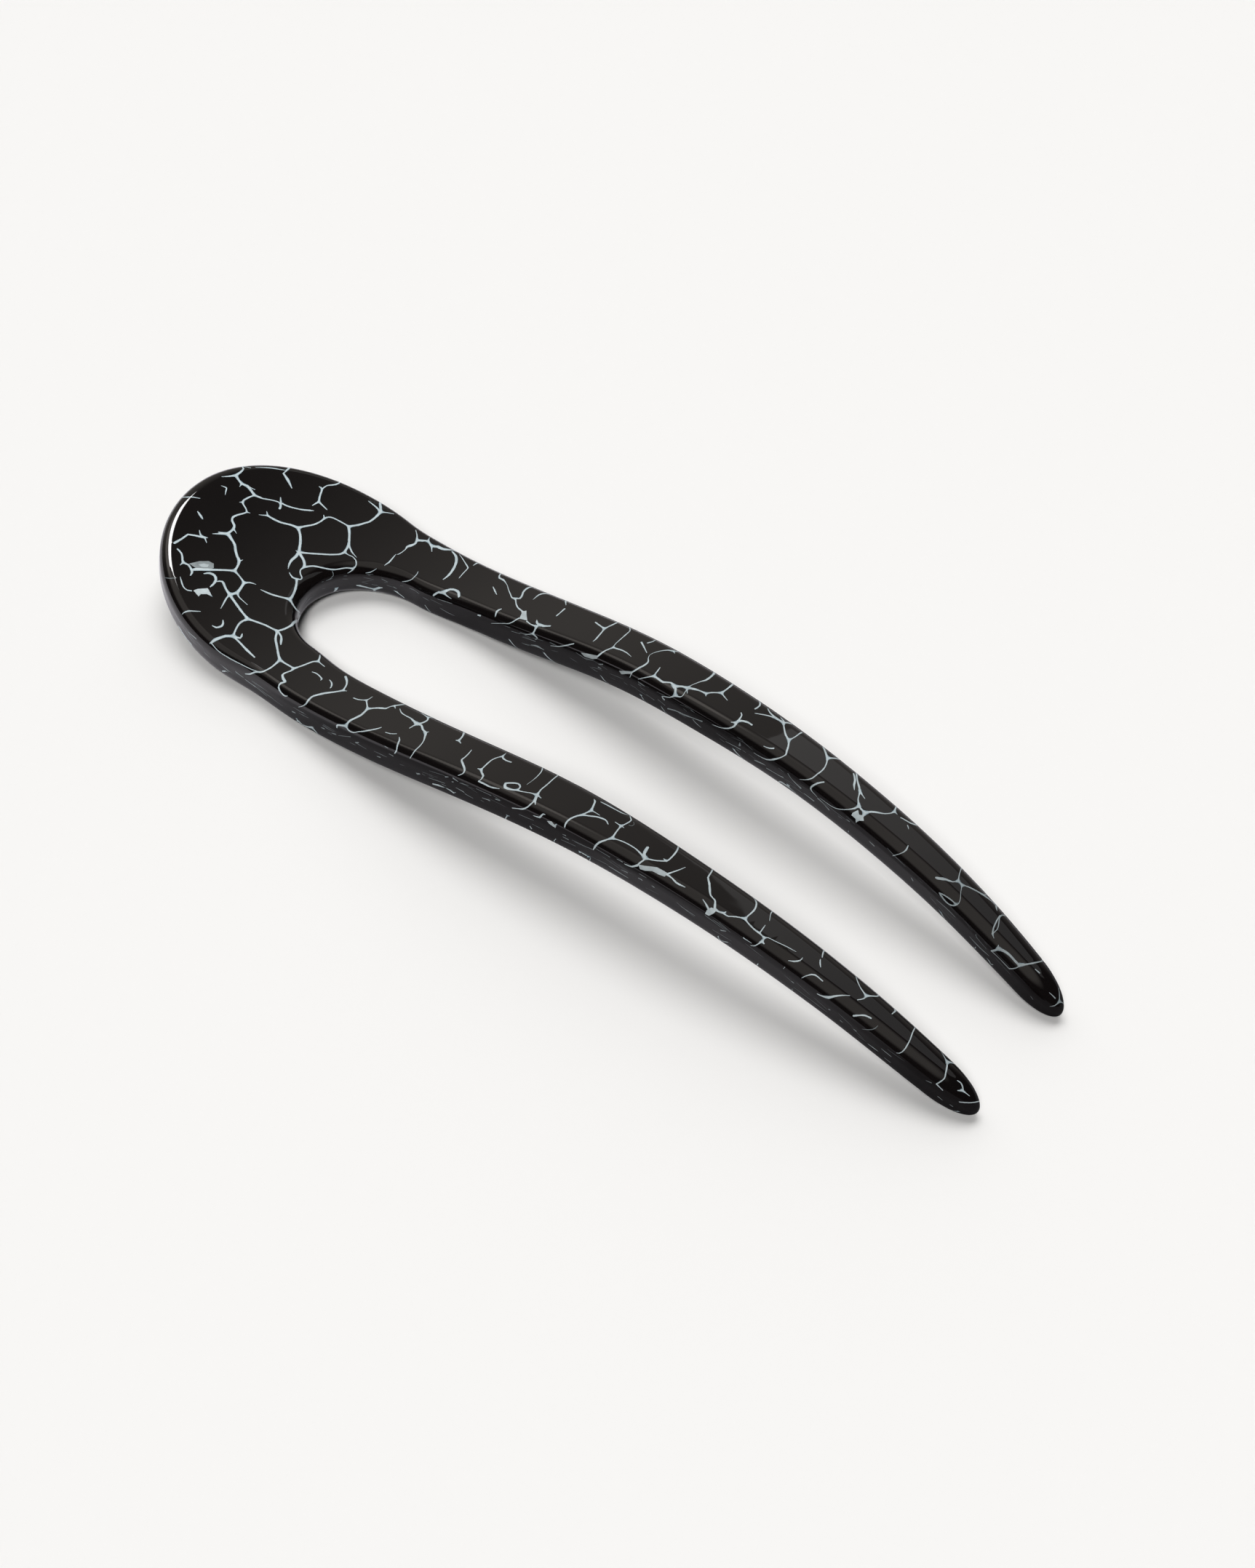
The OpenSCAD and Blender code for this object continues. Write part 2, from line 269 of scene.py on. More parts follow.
# The crackle lines, charted on the unrolled map of the top. Points are (u, y, width) in
# millimetres: u from the head's end, y from the middle. Lines that share a point grow a web there.
HEAD_LINES = [
    [(1.3, 4.1, .12), (1.9, 3.9, .2), (2.15, 3.3, .25), (2.2, 2.55, .3)],
    [(2.2, 2.55, .25), (1.9, 1.9, .2), (1.5, 1.2, .08)],
    [(2.2, 2.55, .3), (3.5, 2.35, .25), (4.1, 2.65, .3), (5, 2.55, .3), (5.6, 2.45, .3)],
    [(3.5, 2.35, .2), (3.7, 1.9, .06)],
    [(4.1, 2.65, .12), (5, 3, .06)],
    [(5.6, 2.45, .25), (6.2, 2.75, .25), (6.5, 2.9, .18), (7.2, 3.5, .15), (7.8, 3.9, .15),
     (8.3, 3.97, .16), (8.7, 3.45, .3)],
    [(7.5, 4.55, .08), (7.9, 4.25, .18), (8.3, 3.97, .2)],
    [(8.3, 4.15, .2), (8.8, 4.3, .2), (9.5, 4.7, .18), (10.3, 5.3, .2), (10.9, 5.9, .2),
     (11.2, 6.2, .06)],
    [(5.6, 2.45, .2), (5.5, 2, .2), (5.45, 1.3, .2), (5.6, .75, .2), (6.5, .5, .15),
     (7, .27, .12)],
    [(7, .27, .1), (7.3, .45, .06)],
    [(5.6, .75, .15), (5.4, .5, .06)],
    [(7, .27, .15), (6.9, -.2, .2), (6.7, -.8, .25), (6.65, -1.4, .25), (7, -1.8, .25),
     (7.6, -2, .25), (8, -2.4, .25), (8.1, -3, .3), (8.15, -3.3, .4)],
    [(8, -2.4, .15), (8.7, -2.55, .06)],
    [(8.15, -3.3, .3), (7.4, -4, .12)],
    [(8.15, -3.3, .4), (7.6, -4.1, .22), (7.2, -4.65, .06)],
    [(8.15, -3.3, .45), (9, -3.5, .3), (9.8, -3.7, .28), (10.6, -4.2, .28), (11.4, -4.6, .3),
     (12, -4.8, .3), (12.5, -5.5, .28), (12.8, -6.1, .3)],
    [(12, -4.8, .15), (12.1, -4.4, .06)],
    [(12.1, 3.25, .35), (12.4, 4, .25), (12.8, 4.9, .25), (12.9, 5.8, .22), (12.8, 6.4, .22),
     (12.95, 6.9, .2), (13.4, 7.2, .18), (14.3, 7.45, .18), (15, 7.6, .2), (15.4, 7.65, .25)],
    [(12.8, 6.4, .15), (12.35, 6.65, .08)],
    [(12.1, 3.25, .3), (11.3, 2.9, .25), (10.4, 2.3, .25), (9.5, 1.95, .25), (8.7, 1.75, .22)],
    [(8.7, 1.75, .18), (8.2, 2.05, .08)],
    [(8.7, 1.75, .18), (8.05, 1.07, .06)],
    [(12.1, 3.25, .3), (13, 2.8, .3), (13.9, 2.1, .3), (14.6, 1.4, .3), (15, 1, .4)],
    [(2.45, .35, .06), (2.9, .6, .15), (3.1, .55, .15), (3.4, .2, .12), (3.7, -.1, .05)],
    [(5, 7, .2), (6, 6.8, .3), (7.2, 6.4, .1)],
    [(6, 11.65, .08), (8, 11.8, .16), (9.05, 11.65, .18), (9.7, 11, .2), (9.5, 10.3, .18),
     (9.2, 9.75, .15), (9.25, 9, .16)],
    [(8.8, 8.95, .1), (9.25, 9, .18), (9.9, 8.15, .2), (10.5, 7.5, .22)],
    [(10.5, 7.5, .25), (11.95, 7.45, .12)],
    [(10.5, 7.5, .25), (10.5, 6.6, .12)],
    [(15.4, 7.65, .3), (15.9, 8.6, .3), (16.15, 9.4, .26), (16.3, 9.9, .28), (16.2, 10.8, .3),
     (15.95, 11.8, .35)],
    [(15.95, 11.8, .3), (15, 11.9, .2), (13.8, 11.85, .08)],
    [(15.95, 11.8, .35), (15.3, 12.3, .3), (14.9, 12.6, .3), (14.2, 13.4, .25),
     (13.8, 14.2, .2), (13, 14.9, .08)],
    [(15.95, 11.8, .2), (16.5, 12.3, .12), (17.1, 12.7, .06)],
    [(15.4, 7.65, .3), (16.2, 7.1, .28), (17, 6.4, .3), (17.65, 5.8, .3), (18, 5.1, .28),
     (18.2, 4.75, .35)],
    [(17.65, 5.8, .2), (18.4, 5.5, .2), (18.8, 5.35, .16), (19.7, 5.2, .05)],
    [(18.2, 4.75, .3), (18.1, 4.2, .26), (17.5, 3.4, .24), (16.6, 2.5, .25), (15.8, 1.7, .25),
     (15, 1, .35)],
    [(18.2, 4.75, .16), (18.8, 4.8, .12), (19.3, 4.95, .12), (20, 4.85, .14), (20.5, 4.5, .16),
     (20.6, 4.1, .2)],
    [(20.6, 4.1, .18), (20.65, 3.8, .14), (20.6, 3.4, .05)],
    [(20.6, 4.1, .2), (20, 3.5, .15), (19.5, 2.6, .15), (19.1, 2.05, .16), (18.4, 1.4, .2),
     (17.6, .8, .24), (17.1, 0, .3)],
    [(15, 1, .25), (14.6, .9, .06)],
    [(15, 1, .4), (15.5, .85, .35), (16.2, .65, .32), (16.8, .3, .34), (17.1, 0, .35)],
    [(15, 1, .4), (15.3, .3, .4), (15.4, -.3, .38), (15.7, -.9, .25), (16.2, -1.5, .05)],
    [(17.1, 0, .25), (17.2, -.6, .16), (17.7, -1, .15), (18.2, -1.2, .15), (18.3, -1.5, .16),
     (18, -1.75, .22)],
    [(18, -1.75, .22), (17.5, -1.95, .2), (16.7, -1.75, .08)],
    [(18, -1.75, .25), (18.6, -2.3, .3), (19.2, -3, .3), (19.7, -3.8, .3), (19.9, -4.3, .35)],
    [(19.9, -4.3, .3), (19, -4.8, .25), (18, -5.3, .25), (16.75, -5.7, .08)],
    [(19.9, -4.3, .3), (20.8, -4.35, .3), (21.3, -4.1, .3), (21.6, -3.6, .25),
     (21.95, -3.1, .12)],
    [(22.7, -3.7, .4), (22.6, -4.5, .45), (22.6, -5.2, .42), (22.8, -6, .35), (23.2, -6.8, .3),
     (23.2, -7.6, .3), (23, -8.2, .3), (22.9, -8.4, .35)],
    [(22.9, -8.4, .3), (22.3, -8.55, .25), (21.3, -8.75, .25), (20.3, -9.1, .26),
     (19.3, -9.5, .32)],
    [(22.9, -8.4, .25), (23.9, -8.7, .22), (24.5, -9.2, .28), (24.9, -9.55, .12)],
    [(22.9, -8.4, .3), (23.7, -9.3, .28), (24.8, -10, .28), (25.9, -10.7, .28),
     (26.8, -11.2, .32)],
    [(19.3, -9.5, .3), (18, -9.3, .28), (16.6, -9, .28), (15.2, -8.7, .3), (14.2, -8.45, .28),
     (13.2, -8.1, .26), (12.8, -8.6, .12)],
    [(19.3, -9.5, .3), (19.2, -10.4, .28), (19.6, -11.3, .22), (20.3, -12.3, .24)],
    [(20.3, -12.3, .3), (19.75, -12.9, .4), (19.5, -13.8, .45), (19.3, -14.4, .3),
     (19.1, -14.6, .12)],
    [(19.2, -14.5, .12), (20.5, -14.65, .08), (22, -14.5, .08), (24, -14.2, .08),
     (25.5, -14, .08), (26.2, -13.85, .05)],
    [(20.3, -12.3, .3), (21.5, -12.4, .22), (23, -12.6, .3), (24.5, -12.75, .2)],
    [(20.3, -12.3, .3), (21.05, -11.95, .3), (20.7, -11.4, .15)],
    [(17.7, -11.6, .12), (18.1, -11.9, .26), (18.3, -12.3, .28), (18.1, -12.8, .24),
     (17.6, -12.95, .1)],
    [(26.8, -11.2, .3), (27, -12, .28), (27.1, -12.8, .26), (26.9, -13.6, .2), (26, -14, .16),
     (25.2, -14.4, .12), (24.2, -14.7, .06)],
    [(26.8, -11.2, .3), (27.6, -11.2, .25), (28.6, -11.15, .25), (29.1, -11.15, .32)],
    [(12.8, -6.1, .25), (13.8, -6.2, .18), (14.8, -6.4, .22)],
    [(12.8, -6.1, .3), (12.2, -6.7, .28), (11.6, -7.4, .28), (11.1, -8, .3), (10.6, -8.6, .34),
     (10.1, -9.2, .4), (9.9, -9.6, .3)],
    [(14.8, -6.4, .22), (15.2, -5.9, .2), (15.8, -5.6, .07)],
    [(14.8, -6.4, .3), (15.2, -7.2, .36), (15.5, -7.9, .35)],
    [(15.5, -7.9, .2), (16.1, -8.15, .15), (17.6, -8.2, .06)],
    [(15.5, -7.9, .35), (15.2, -8.7, .3)],
    [(15.2, -8.7, .22), (15.4, -9.3, .18), (15.8, -10, .18), (16.2, -10.7, .06)],
    [(11.1, -8.9, .15), (11.4, -8.4, .28), (12, -8.2, .3), (12.6, -8.5, .3), (12.9, -9.1, .28),
     (13, -9.6, .12)],
    [(12.2, -11.5, .15), (11.8, -11.8, .15), (11.2, -11.8, .15), (10.5, -11.5, .15),
     (9.9, -11.2, .06)],
    [(6.65, -9, .18), (7.4, -9.05, .2), (8, -9.4, .22), (8.5, -9.7, .25), (9.1, -9.45, .22),
     (9.9, -9.65, .24), (10.2, -9.85, .28), (10.4, -10.2, .12)],
    [(8.5, -9.7, .2), (8.6, -10.2, .06)],
    [(5.7, -6.85, .2), (5.8, -7.8, .24), (5.8, -8.75, .3)],
    [(5.7, -6.85, .2), (6.3, -6.3, .24), (6.9, -5.85, .26), (7.1, -5.65, .26)],
    [(6, -5.5, .1), (6.6, -5.8, .2), (7.1, -5.65, .22), (7.3, -5.45, .1)],
    [(7.1, -5.65, .2), (7.8, -5.95, .07)],
    [(3.8, -4, .12), (4.4, -4.1, .28), (4.9, -4.2, .14)],
    [(2.5, -2.65, .08), (1.9, -3.2, .15), (1.5, -3.6, .15), (.9, -3.8, .14), (.3, -3.5, .14),
     (-.7, -2.8, .12), (-1.6, -2.2, .06)],
    [(-1.05, 2.5, .1), (-1.1, 3.2, .22), (-1, 4.1, .25), (-.4, 4.4, .25), (.5, 4.7, .25),
     (1.3, 4.1, .2)],
    [(.5, 4.7, .16), (.8, 5.4, .06)],
    [(1.3, 4.1, .16), (2.3, 4.6, .06)],
    [(1.1, 5.8, .06), (1.7, 7, .12), (2.6, 8.1, .18), (3.4, 8.6, .24), (4.1, 8.5, .3),
     (4.7, 8, .3), (4.85, 7.6, .2), (5, 7, .14)],
    [(2.5, 5.1, .06), (3.5, 6.3, .15), (4.7, 7.4, .08)],
    [(2.1, 8.9, .08), (2.9, 8.35, .3)],
    [(22.1, 11.8, .3), (22.6, 12.2, .35), (23.1, 12.6, .2), (24, 12.3, .3), (24.6, 12.7, .5),
     (25.3, 12.8, .45), (26.2, 13.4, .3), (27, 14.2, .2), (28, 14.8, .08)],
    [(22.1, 11.8, .25), (21.4, 12.4, .14), (20.7, 12.8, .08)],
    [(24, 12.3, .2), (24.8, 11.7, .08)],
    [(23.1, 12.6, .14), (22.7, 13.1, .08)],
    [(22.1, 11.8, .25), (22.4, 11.3, .3), (22.3, 10.7, .45), (22.2, 10.3, .3), (22.4, 9.9, .14),
     (22.5, 9, .12), (22.4, 8.7, .06)],
    [(22.3, 8.6, .08), (22.6, 7.8, .2), (22.8, 7.2, .2), (22.8, 6.6, .08)],
    [(22.4, 5.8, .05), (22.2, 5.2, .1), (21.9, 4.8, .05)],
    [(26.5, 13.2, .2), (27.4, 12.95, .32), (28.2, 12.35, .35), (28.9, 11.45, .35),
     (29.4, 10.5, .34), (29.6, 9.85, .3), (29.67, 9.25, .16)],
    [(26.4, 8.4, .06), (26.7, 7.9, .12), (26.7, 7.3, .12), (26.3, 6.9, .1), (25.8, 6.6, .05)],
    [(13.7, -14.15, .06), (14.3, -13.5, .2), (15.15, -12.6, .08)],
]

FAR_LINES = [
    [(27.5, 13.4, .06), (28.5, 13.05, .12), (29.9, 12.5, .18), (30.25, 12.25, .16),
     (30.5, 11.5, .15), (30.8, 10.7, .12), (30.9, 10.45, .06)],
    [(30, 14.3, .2), (30.25, 13.6, .24), (30.3, 13, .1)],
    [(33.2, 14.5, .16), (33.85, 14, .2), (34.25, 13.4, .2), (34.65, 13.1, .26),
     (35.2, 13.1, .3), (35.8, 12.92, .14), (36.5, 12.6, .08), (37.3, 12.1, .12),
     (38.2, 11.6, .14), (38.85, 11.25, .2), (39.3, 11.3, .3)],
    [(39.3, 11.3, .3), (39.75, 11.6, .34), (39.5, 12.15, .25), (39.1, 12.65, .26),
     (38.9, 13.25, .34), (38.97, 13.9, .3), (39.2, 14.6, .2), (39.6, 15.3, .08)],
    [(39.3, 11.3, .25), (39.65, 11.1, .2), (40.25, 10.65, .18), (41, 10.25, .2),
     (42.1, 9.97, .26)],
    [(35.35, 11.55, .1), (36.15, 11.13, .2), (36.9, 10.75, .1)],
    [(42.5, 14.5, .2), (41.65, 13.9, .34), (41.15, 13.4, .3), (41.1, 12.9, .22),
     (41.25, 12.2, .05)],
    [(43.2, 14.9, .08), (44, 14.3, .16), (44.65, 13.85, .25), (45.4, 13.25, .06)],
    [(45.85, 12.65, .3), (46, 12, .2), (46.15, 11.25, .22)],
    [(44, 8.9, .2), (44.85, 8.75, .14), (45.75, 8.8, .24)],
    [(45.75, 8.8, .3), (45.85, 9.1, .42), (46.5, 9.17, .4), (47.1, 9.5, .28)],
    [(45.85, 9.1, .4), (45.35, 9.2, .3), (44.85, 9.6, .1)],
    [(45.75, 8.8, .28), (45.8, 8.3, .3), (45.75, 8.05, .24)],
    [(45.75, 8.05, .2), (46.2, 7.95, .15), (46.65, 7.83, .1), (46.4, 7.68, .05)],
    [(45.75, 8.05, .1), (44.7, 7.68, .04)],
    [(42.75, 8.85, .24), (42.4, 8.35, .16), (41.85, 8, .1), (41, 7.8, .06), (39.5, 7.4, .04)],
    [(39.6, 9.1, .2), (39.45, 8.6, .36), (39.65, 8.1, .14)],
    [(30.4, 7.15, .3), (30.75, 7.6, .26), (31.35, 7.85, .34), (31.75, 8.5, .45),
     (32.35, 8.75, .42), (33, 8.65, .38), (33.5, 8.25, .3)],
    [(31.35, 7.85, .3), (31.9, 7.75, .16), (32.75, 7.72, .06)],
    [(37.2, 7.57, .12), (37.6, 7.62, .2)],
    [(48.8, 7.67, .05), (50, 7.9, .1), (51, 8.25, .16), (51.8, 8.6, .14)],
    [(51, 12.45, .22), (51.85, 12.25, .24), (52.85, 12.05, .24)],
    [(52.85, 12.05, .26), (52.95, 12.67, .28), (53.1, 13.35, .26), (52.95, 13.85, .2),
     (52.6, 14.6, .1)],
    [(52.85, 12.05, .24), (53.15, 11.35, .22), (53.4, 10.65, .24), (53.6, 10.1, .22),
     (53.65, 9.7, .08)],
    [(54.4, 14, .06), (55, 13.6, .12), (55.55, 13.17, .15), (55.75, 12.35, .2),
     (55.95, 11.35, .16), (56.15, 10.5, .1), (56.4, 10, .14)],
    [(56.4, 10, .25), (56.85, 10.03, .24), (57.65, 10.12, .22), (58.5, 10.03, .16),
     (59.35, 9.8, .05)],
    [(56.4, 10, .25), (56.25, 9.5, .28), (56, 8.85, .28), (55.7, 8.35, .26)],
    [(59.1, 13.4, .12), (59.17, 13, .2), (58.9, 12.5, .22)],
    [(58.25, 12.25, .26), (59, 11.85, .2), (60.15, 11.2, .1)],
    [(61.9, 14, .12), (62.3, 13.5, .22), (62.5, 13.2, .25), (62.2, 12.95, .22)],
    [(62.2, 12.95, .15), (62.65, 12.75, .07)],
    [(62.2, 12.95, .24), (61.65, 12.75, .22), (61.1, 12.2, .15), (60.75, 11.5, .09),
     (60.75, 11, .07), (61.1, 10.5, .12), (61.5, 10.1, .24), (61.6, 9.35, .34),
     (61.35, 8.65, .3), (61, 8.25, .26)],
    [(61, 8.25, .18), (61, 7.75, .1)],
    [(63.2, 10.15, .1), (63.4, 9.7, .2), (63.75, 8.75, .16)],
    [(63.75, 8.75, .18), (63.1, 8.37, .14), (62.15, 7.9, .06)],
    [(63.75, 8.75, .25), (64.35, 8.7, .25), (65.25, 8.6, .3), (66, 8.93, .3), (66.8, 8.72, .5)],
    [(66.8, 8.72, .45), (67.35, 9.15, .36), (67.9, 9.32, .4)],
    [(67.9, 9.32, .14), (68, 10, .12), (68.25, 10.85, .2), (68.5, 11.35, .35),
     (68.5, 12, .35), (68.35, 12.6, .32), (67.9, 13.15, .26), (67.4, 13.6, .16),
     (66.8, 14.1, .06)],
    [(67.9, 9.32, .4), (68.65, 9.6, .42), (69.3, 9.75, .24), (70.1, 9.82, .24)],
    [(70.1, 9.82, .25), (70.4, 9.5, .08)],
    [(70.1, 9.82, .25), (70.4, 10.25, .26), (71.2, 10.85, .26)],
    [(71.2, 10.85, .2), (71.85, 10.6, .15), (72.5, 10.38, .09)],
    [(71.2, 10.85, .24), (71.2, 11.5, .26), (71.1, 12.35, .3), (70.75, 12.9, .28),
     (70.15, 13.5, .22), (69.5, 14.1, .08)],
    [(67.9, 9.32, .2), (68.6, 8.67, .06)],
    [(68.15, 9, .12), (68.35, 8.35, .12), (68.15, 8.05, .14), (67.5, 7.97, .24)],
    [(66.8, 8.72, .4), (67.1, 8.5, .36), (67.5, 7.97, .3)],
    [(67.5, 7.97, .2), (67, 7.6, .12), (66, 7.37, .12), (66.5, 7.15, .18)],
    [(73.9, 13.6, .08), (74.35, 13, .18), (75, 12.4, .2), (75.5, 11.85, .24),
     (75.53, 11.2, .28)],
    [(74.9, 9.85, .12), (75.25, 9.6, .2), (75.5, 9, .3), (75.6, 8.85, .36)],
    [(75.6, 8.85, .4), (76, 9.1, .38), (76.5, 9.25, .3), (77, 9.22, .26)],
    [(75.6, 8.85, .36), (75.6, 8.5, .35), (75.7, 8.1, .3), (75.25, 7.65, .2),
     (74.5, 7.37, .1), (73.35, 7.2, .05)],
    [(75.6, 8.5, .2), (75.1, 8.27, .1)],
    [(79, 11.55, .3), (79.3, 11.85, .38), (79.55, 12.3, .36), (79.35, 12.8, .3),
     (78.8, 13.3, .2), (78.1, 13.8, .08)],
    [(79, 11.55, .24), (78.85, 11.75, .2), (78.25, 11.95, .1)],
    [(79, 11.55, .3), (78, 11.55, .3), (77, 11.75, .2), (76.35, 12.1, .1)],
    [(78, 11.55, .26), (77, 11.2, .2), (76, 10.7, .12)],
    [(79, 11.55, .22), (79.75, 10.9, .2), (80.5, 10.35, .25), (81.2, 10.05, .26)],
    [(81.2, 10.05, .2), (81.3, 10.8, .16), (81.25, 11.75, .28)],
    [(81.2, 10.05, .26), (81.75, 9.4, .22), (82.15, 8.75, .25), (82.4, 8.35, .2),
     (82.15, 7.85, .16), (81.65, 7.4, .28), (81, 7, .16), (80, 6.87, .08), (79.3, 6.87, .04)],
    [(79.85, 7.92, .08), (80.5, 8.03, .15), (80.9, 8.25, .24)],
    [(85.6, 10.8, .24), (85, 11.2, .26), (84.15, 11.8, .28), (83.9, 12.1, .28),
     (83.4, 12.7, .16)],
    [(85.6, 10.8, .25), (86, 11.25, .28), (86.25, 11.85, .25), (85.9, 12.35, .2),
     (85.3, 12.9, .08)],
    [(85.6, 10.8, .2), (86.1, 10.1, .18), (86.4, 9.35, .2), (86.45, 8.5, .2),
     (86.35, 7.85, .2), (85.85, 7.4, .1), (85.3, 7.15, .05)],
    [(87.8, 13, .12), (88.15, 12.5, .24), (88.6, 11.75, .22), (89.15, 11.1, .24),
     (89.85, 10.5, .2), (90.35, 10.15, .26), (90.9, 9.7, .3)],
    [(90.9, 9.7, .26), (91.8, 9.4, .08)],
    [(88.75, 11.1, .2), (89.5, 10.5, .32), (89.85, 10, .28), (90.35, 9.5, .1)],
    [(90.9, 9.7, .16), (91.4, 8.9, .16), (92.1, 8.3, .3)],
    [(92.1, 8.3, .28), (91.97, 7.85, .28), (91.5, 7.4, .13), (90.65, 6.9, .1),
     (89.85, 6.7, .08), (88.3, 6.7, .04)],
    [(92.1, 8.3, .28), (92.5, 8.15, .26), (93.1, 8.1, .3)],
    [(93.1, 8.1, .36), (93.4, 8.6, .34), (93.9, 9, .3), (94.4, 9.35, .16), (94.75, 9.85, .18),
     (94.85, 10.25, .24)],
    [(94.85, 10.25, .2), (95.25, 10.2, .08)],
    [(94.85, 10.25, .22), (94.4, 11, .2), (93.9, 11.85, .26), (93.6, 12.4, .2),
     (93.1, 13, .06)],
    [(93.1, 8.1, .34), (93.15, 7.6, .4)],
    [(87.6, 8.2, .18), (87.15, 7.75, .26), (86.85, 7.15, .3), (87.1, 6.85, .12),
     (88, 6.63, .05)],
    [(96.4, 12.1, .16), (96.9, 11.5, .3), (97.17, 10.85, .34), (96.85, 10.4, .3),
     (95.75, 10.15, .14)],
    [(96.85, 9.9, .14), (97.25, 9.65, .06)],
    [(98.6, 8.1, .1), (98.8, 7.6, .24), (98.65, 7.1, .12), (98.15, 6.4, .14)],
    [(102.9, 11.3, .12), (103.25, 10.75, .24), (103.6, 10.1, .16), (104, 9.35, .13),
     (104.5, 8.63, .16)],
    [(104.5, 8.63, .24), (105.05, 8.57, .22)],
    [(105.05, 8.57, .2), (105.5, 8.85, .2), (106.35, 9.15, .24), (107, 9.35, .28),
     (107.85, 9.65, .36), (108.4, 9.95, .46)],
    [(107, 9.35, .2), (107.1, 9.75, .15), (106.9, 10.3, .1)],
    [(108.4, 9.95, .44), (108.35, 10.45, .36), (108.1, 11, .16)],
    [(108.4, 9.95, .4), (108.7, 9.4, .3), (109.05, 9.1, .1)],
    [(108.4, 9.95, .4), (107.6, 10.5, .2), (106.9, 11, .08)],
    [(104.5, 8.63, .18), (104.25, 8.15, .2), (103.65, 7.85, .4), (103.15, 7.5, .42),
     (102.85, 7.35, .3)],
    [(105.05, 8.57, .12), (105.5, 7.9, .08), (106.1, 7.15, .1), (106.15, 6.65, .16),
     (105.75, 6.27, .2), (105.15, 6.2, .18), (104.5, 6.33, .26), (104.1, 6.45, .16)],
    [(104.1, 6.45, .16), (104.65, 6.6, .2), (105.5, 6.68, .16), (106.15, 6.65, .16)],
    [(109.2, 10.9, .1), (109.75, 9.95, .24), (109.67, 9.15, .22), (109.63, 8.75, .2)],
    [(109.63, 8.75, .18), (109.85, 8.1, .2), (110.15, 7.4, .2), (110.5, 6.85, .22)],
    [(109.63, 8.75, .12), (110.15, 8.1, .12), (110.5, 7.5, .12), (110.5, 6.85, .14)],
    [(110.5, 6.85, .16), (110.9, 6.67, .07)],
    [(114.9, 9.8, .08), (115.25, 9.1, .2), (115.33, 8.5, .2), (115.15, 7.85, .24),
     (114.85, 7.2, .26), (114.4, 6.52, .3)],
    [(114.4, 6.52, .3), (114, 6.47, .36), (113, 6.53, .34), (112.35, 6.42, .38),
     (111.85, 6.25, .35), (111.65, 6.5, .08)],
    [(111.85, 6.25, .35), (111.75, 5.9, .34), (111.5, 5.53, .22)],
    [(111.5, 5.53, .12), (112.5, 5.55, .08), (113.85, 5.5, .14)],
    [(114.4, 6.52, .22), (114.33, 6.15, .14), (114.15, 5.85, .16), (113.85, 5.5, .18)],
    [(115.6, 7.28, .12), (116.1, 7.33, .22)],
    [(118, 6.85, .08), (118.7, 7.03, .18)],
    [(119.17, 7.25, .16), (118.75, 7.6, .18), (118.15, 8.1, .12)],
    [(119.17, 7.25, .14), (119.5, 7.83, .12), (119.47, 8.5, .12), (119.17, 9.17, .07)],
    [(119.17, 7.25, .14), (119.15, 6.67, .12), (118.9, 6.17, .05)],
]

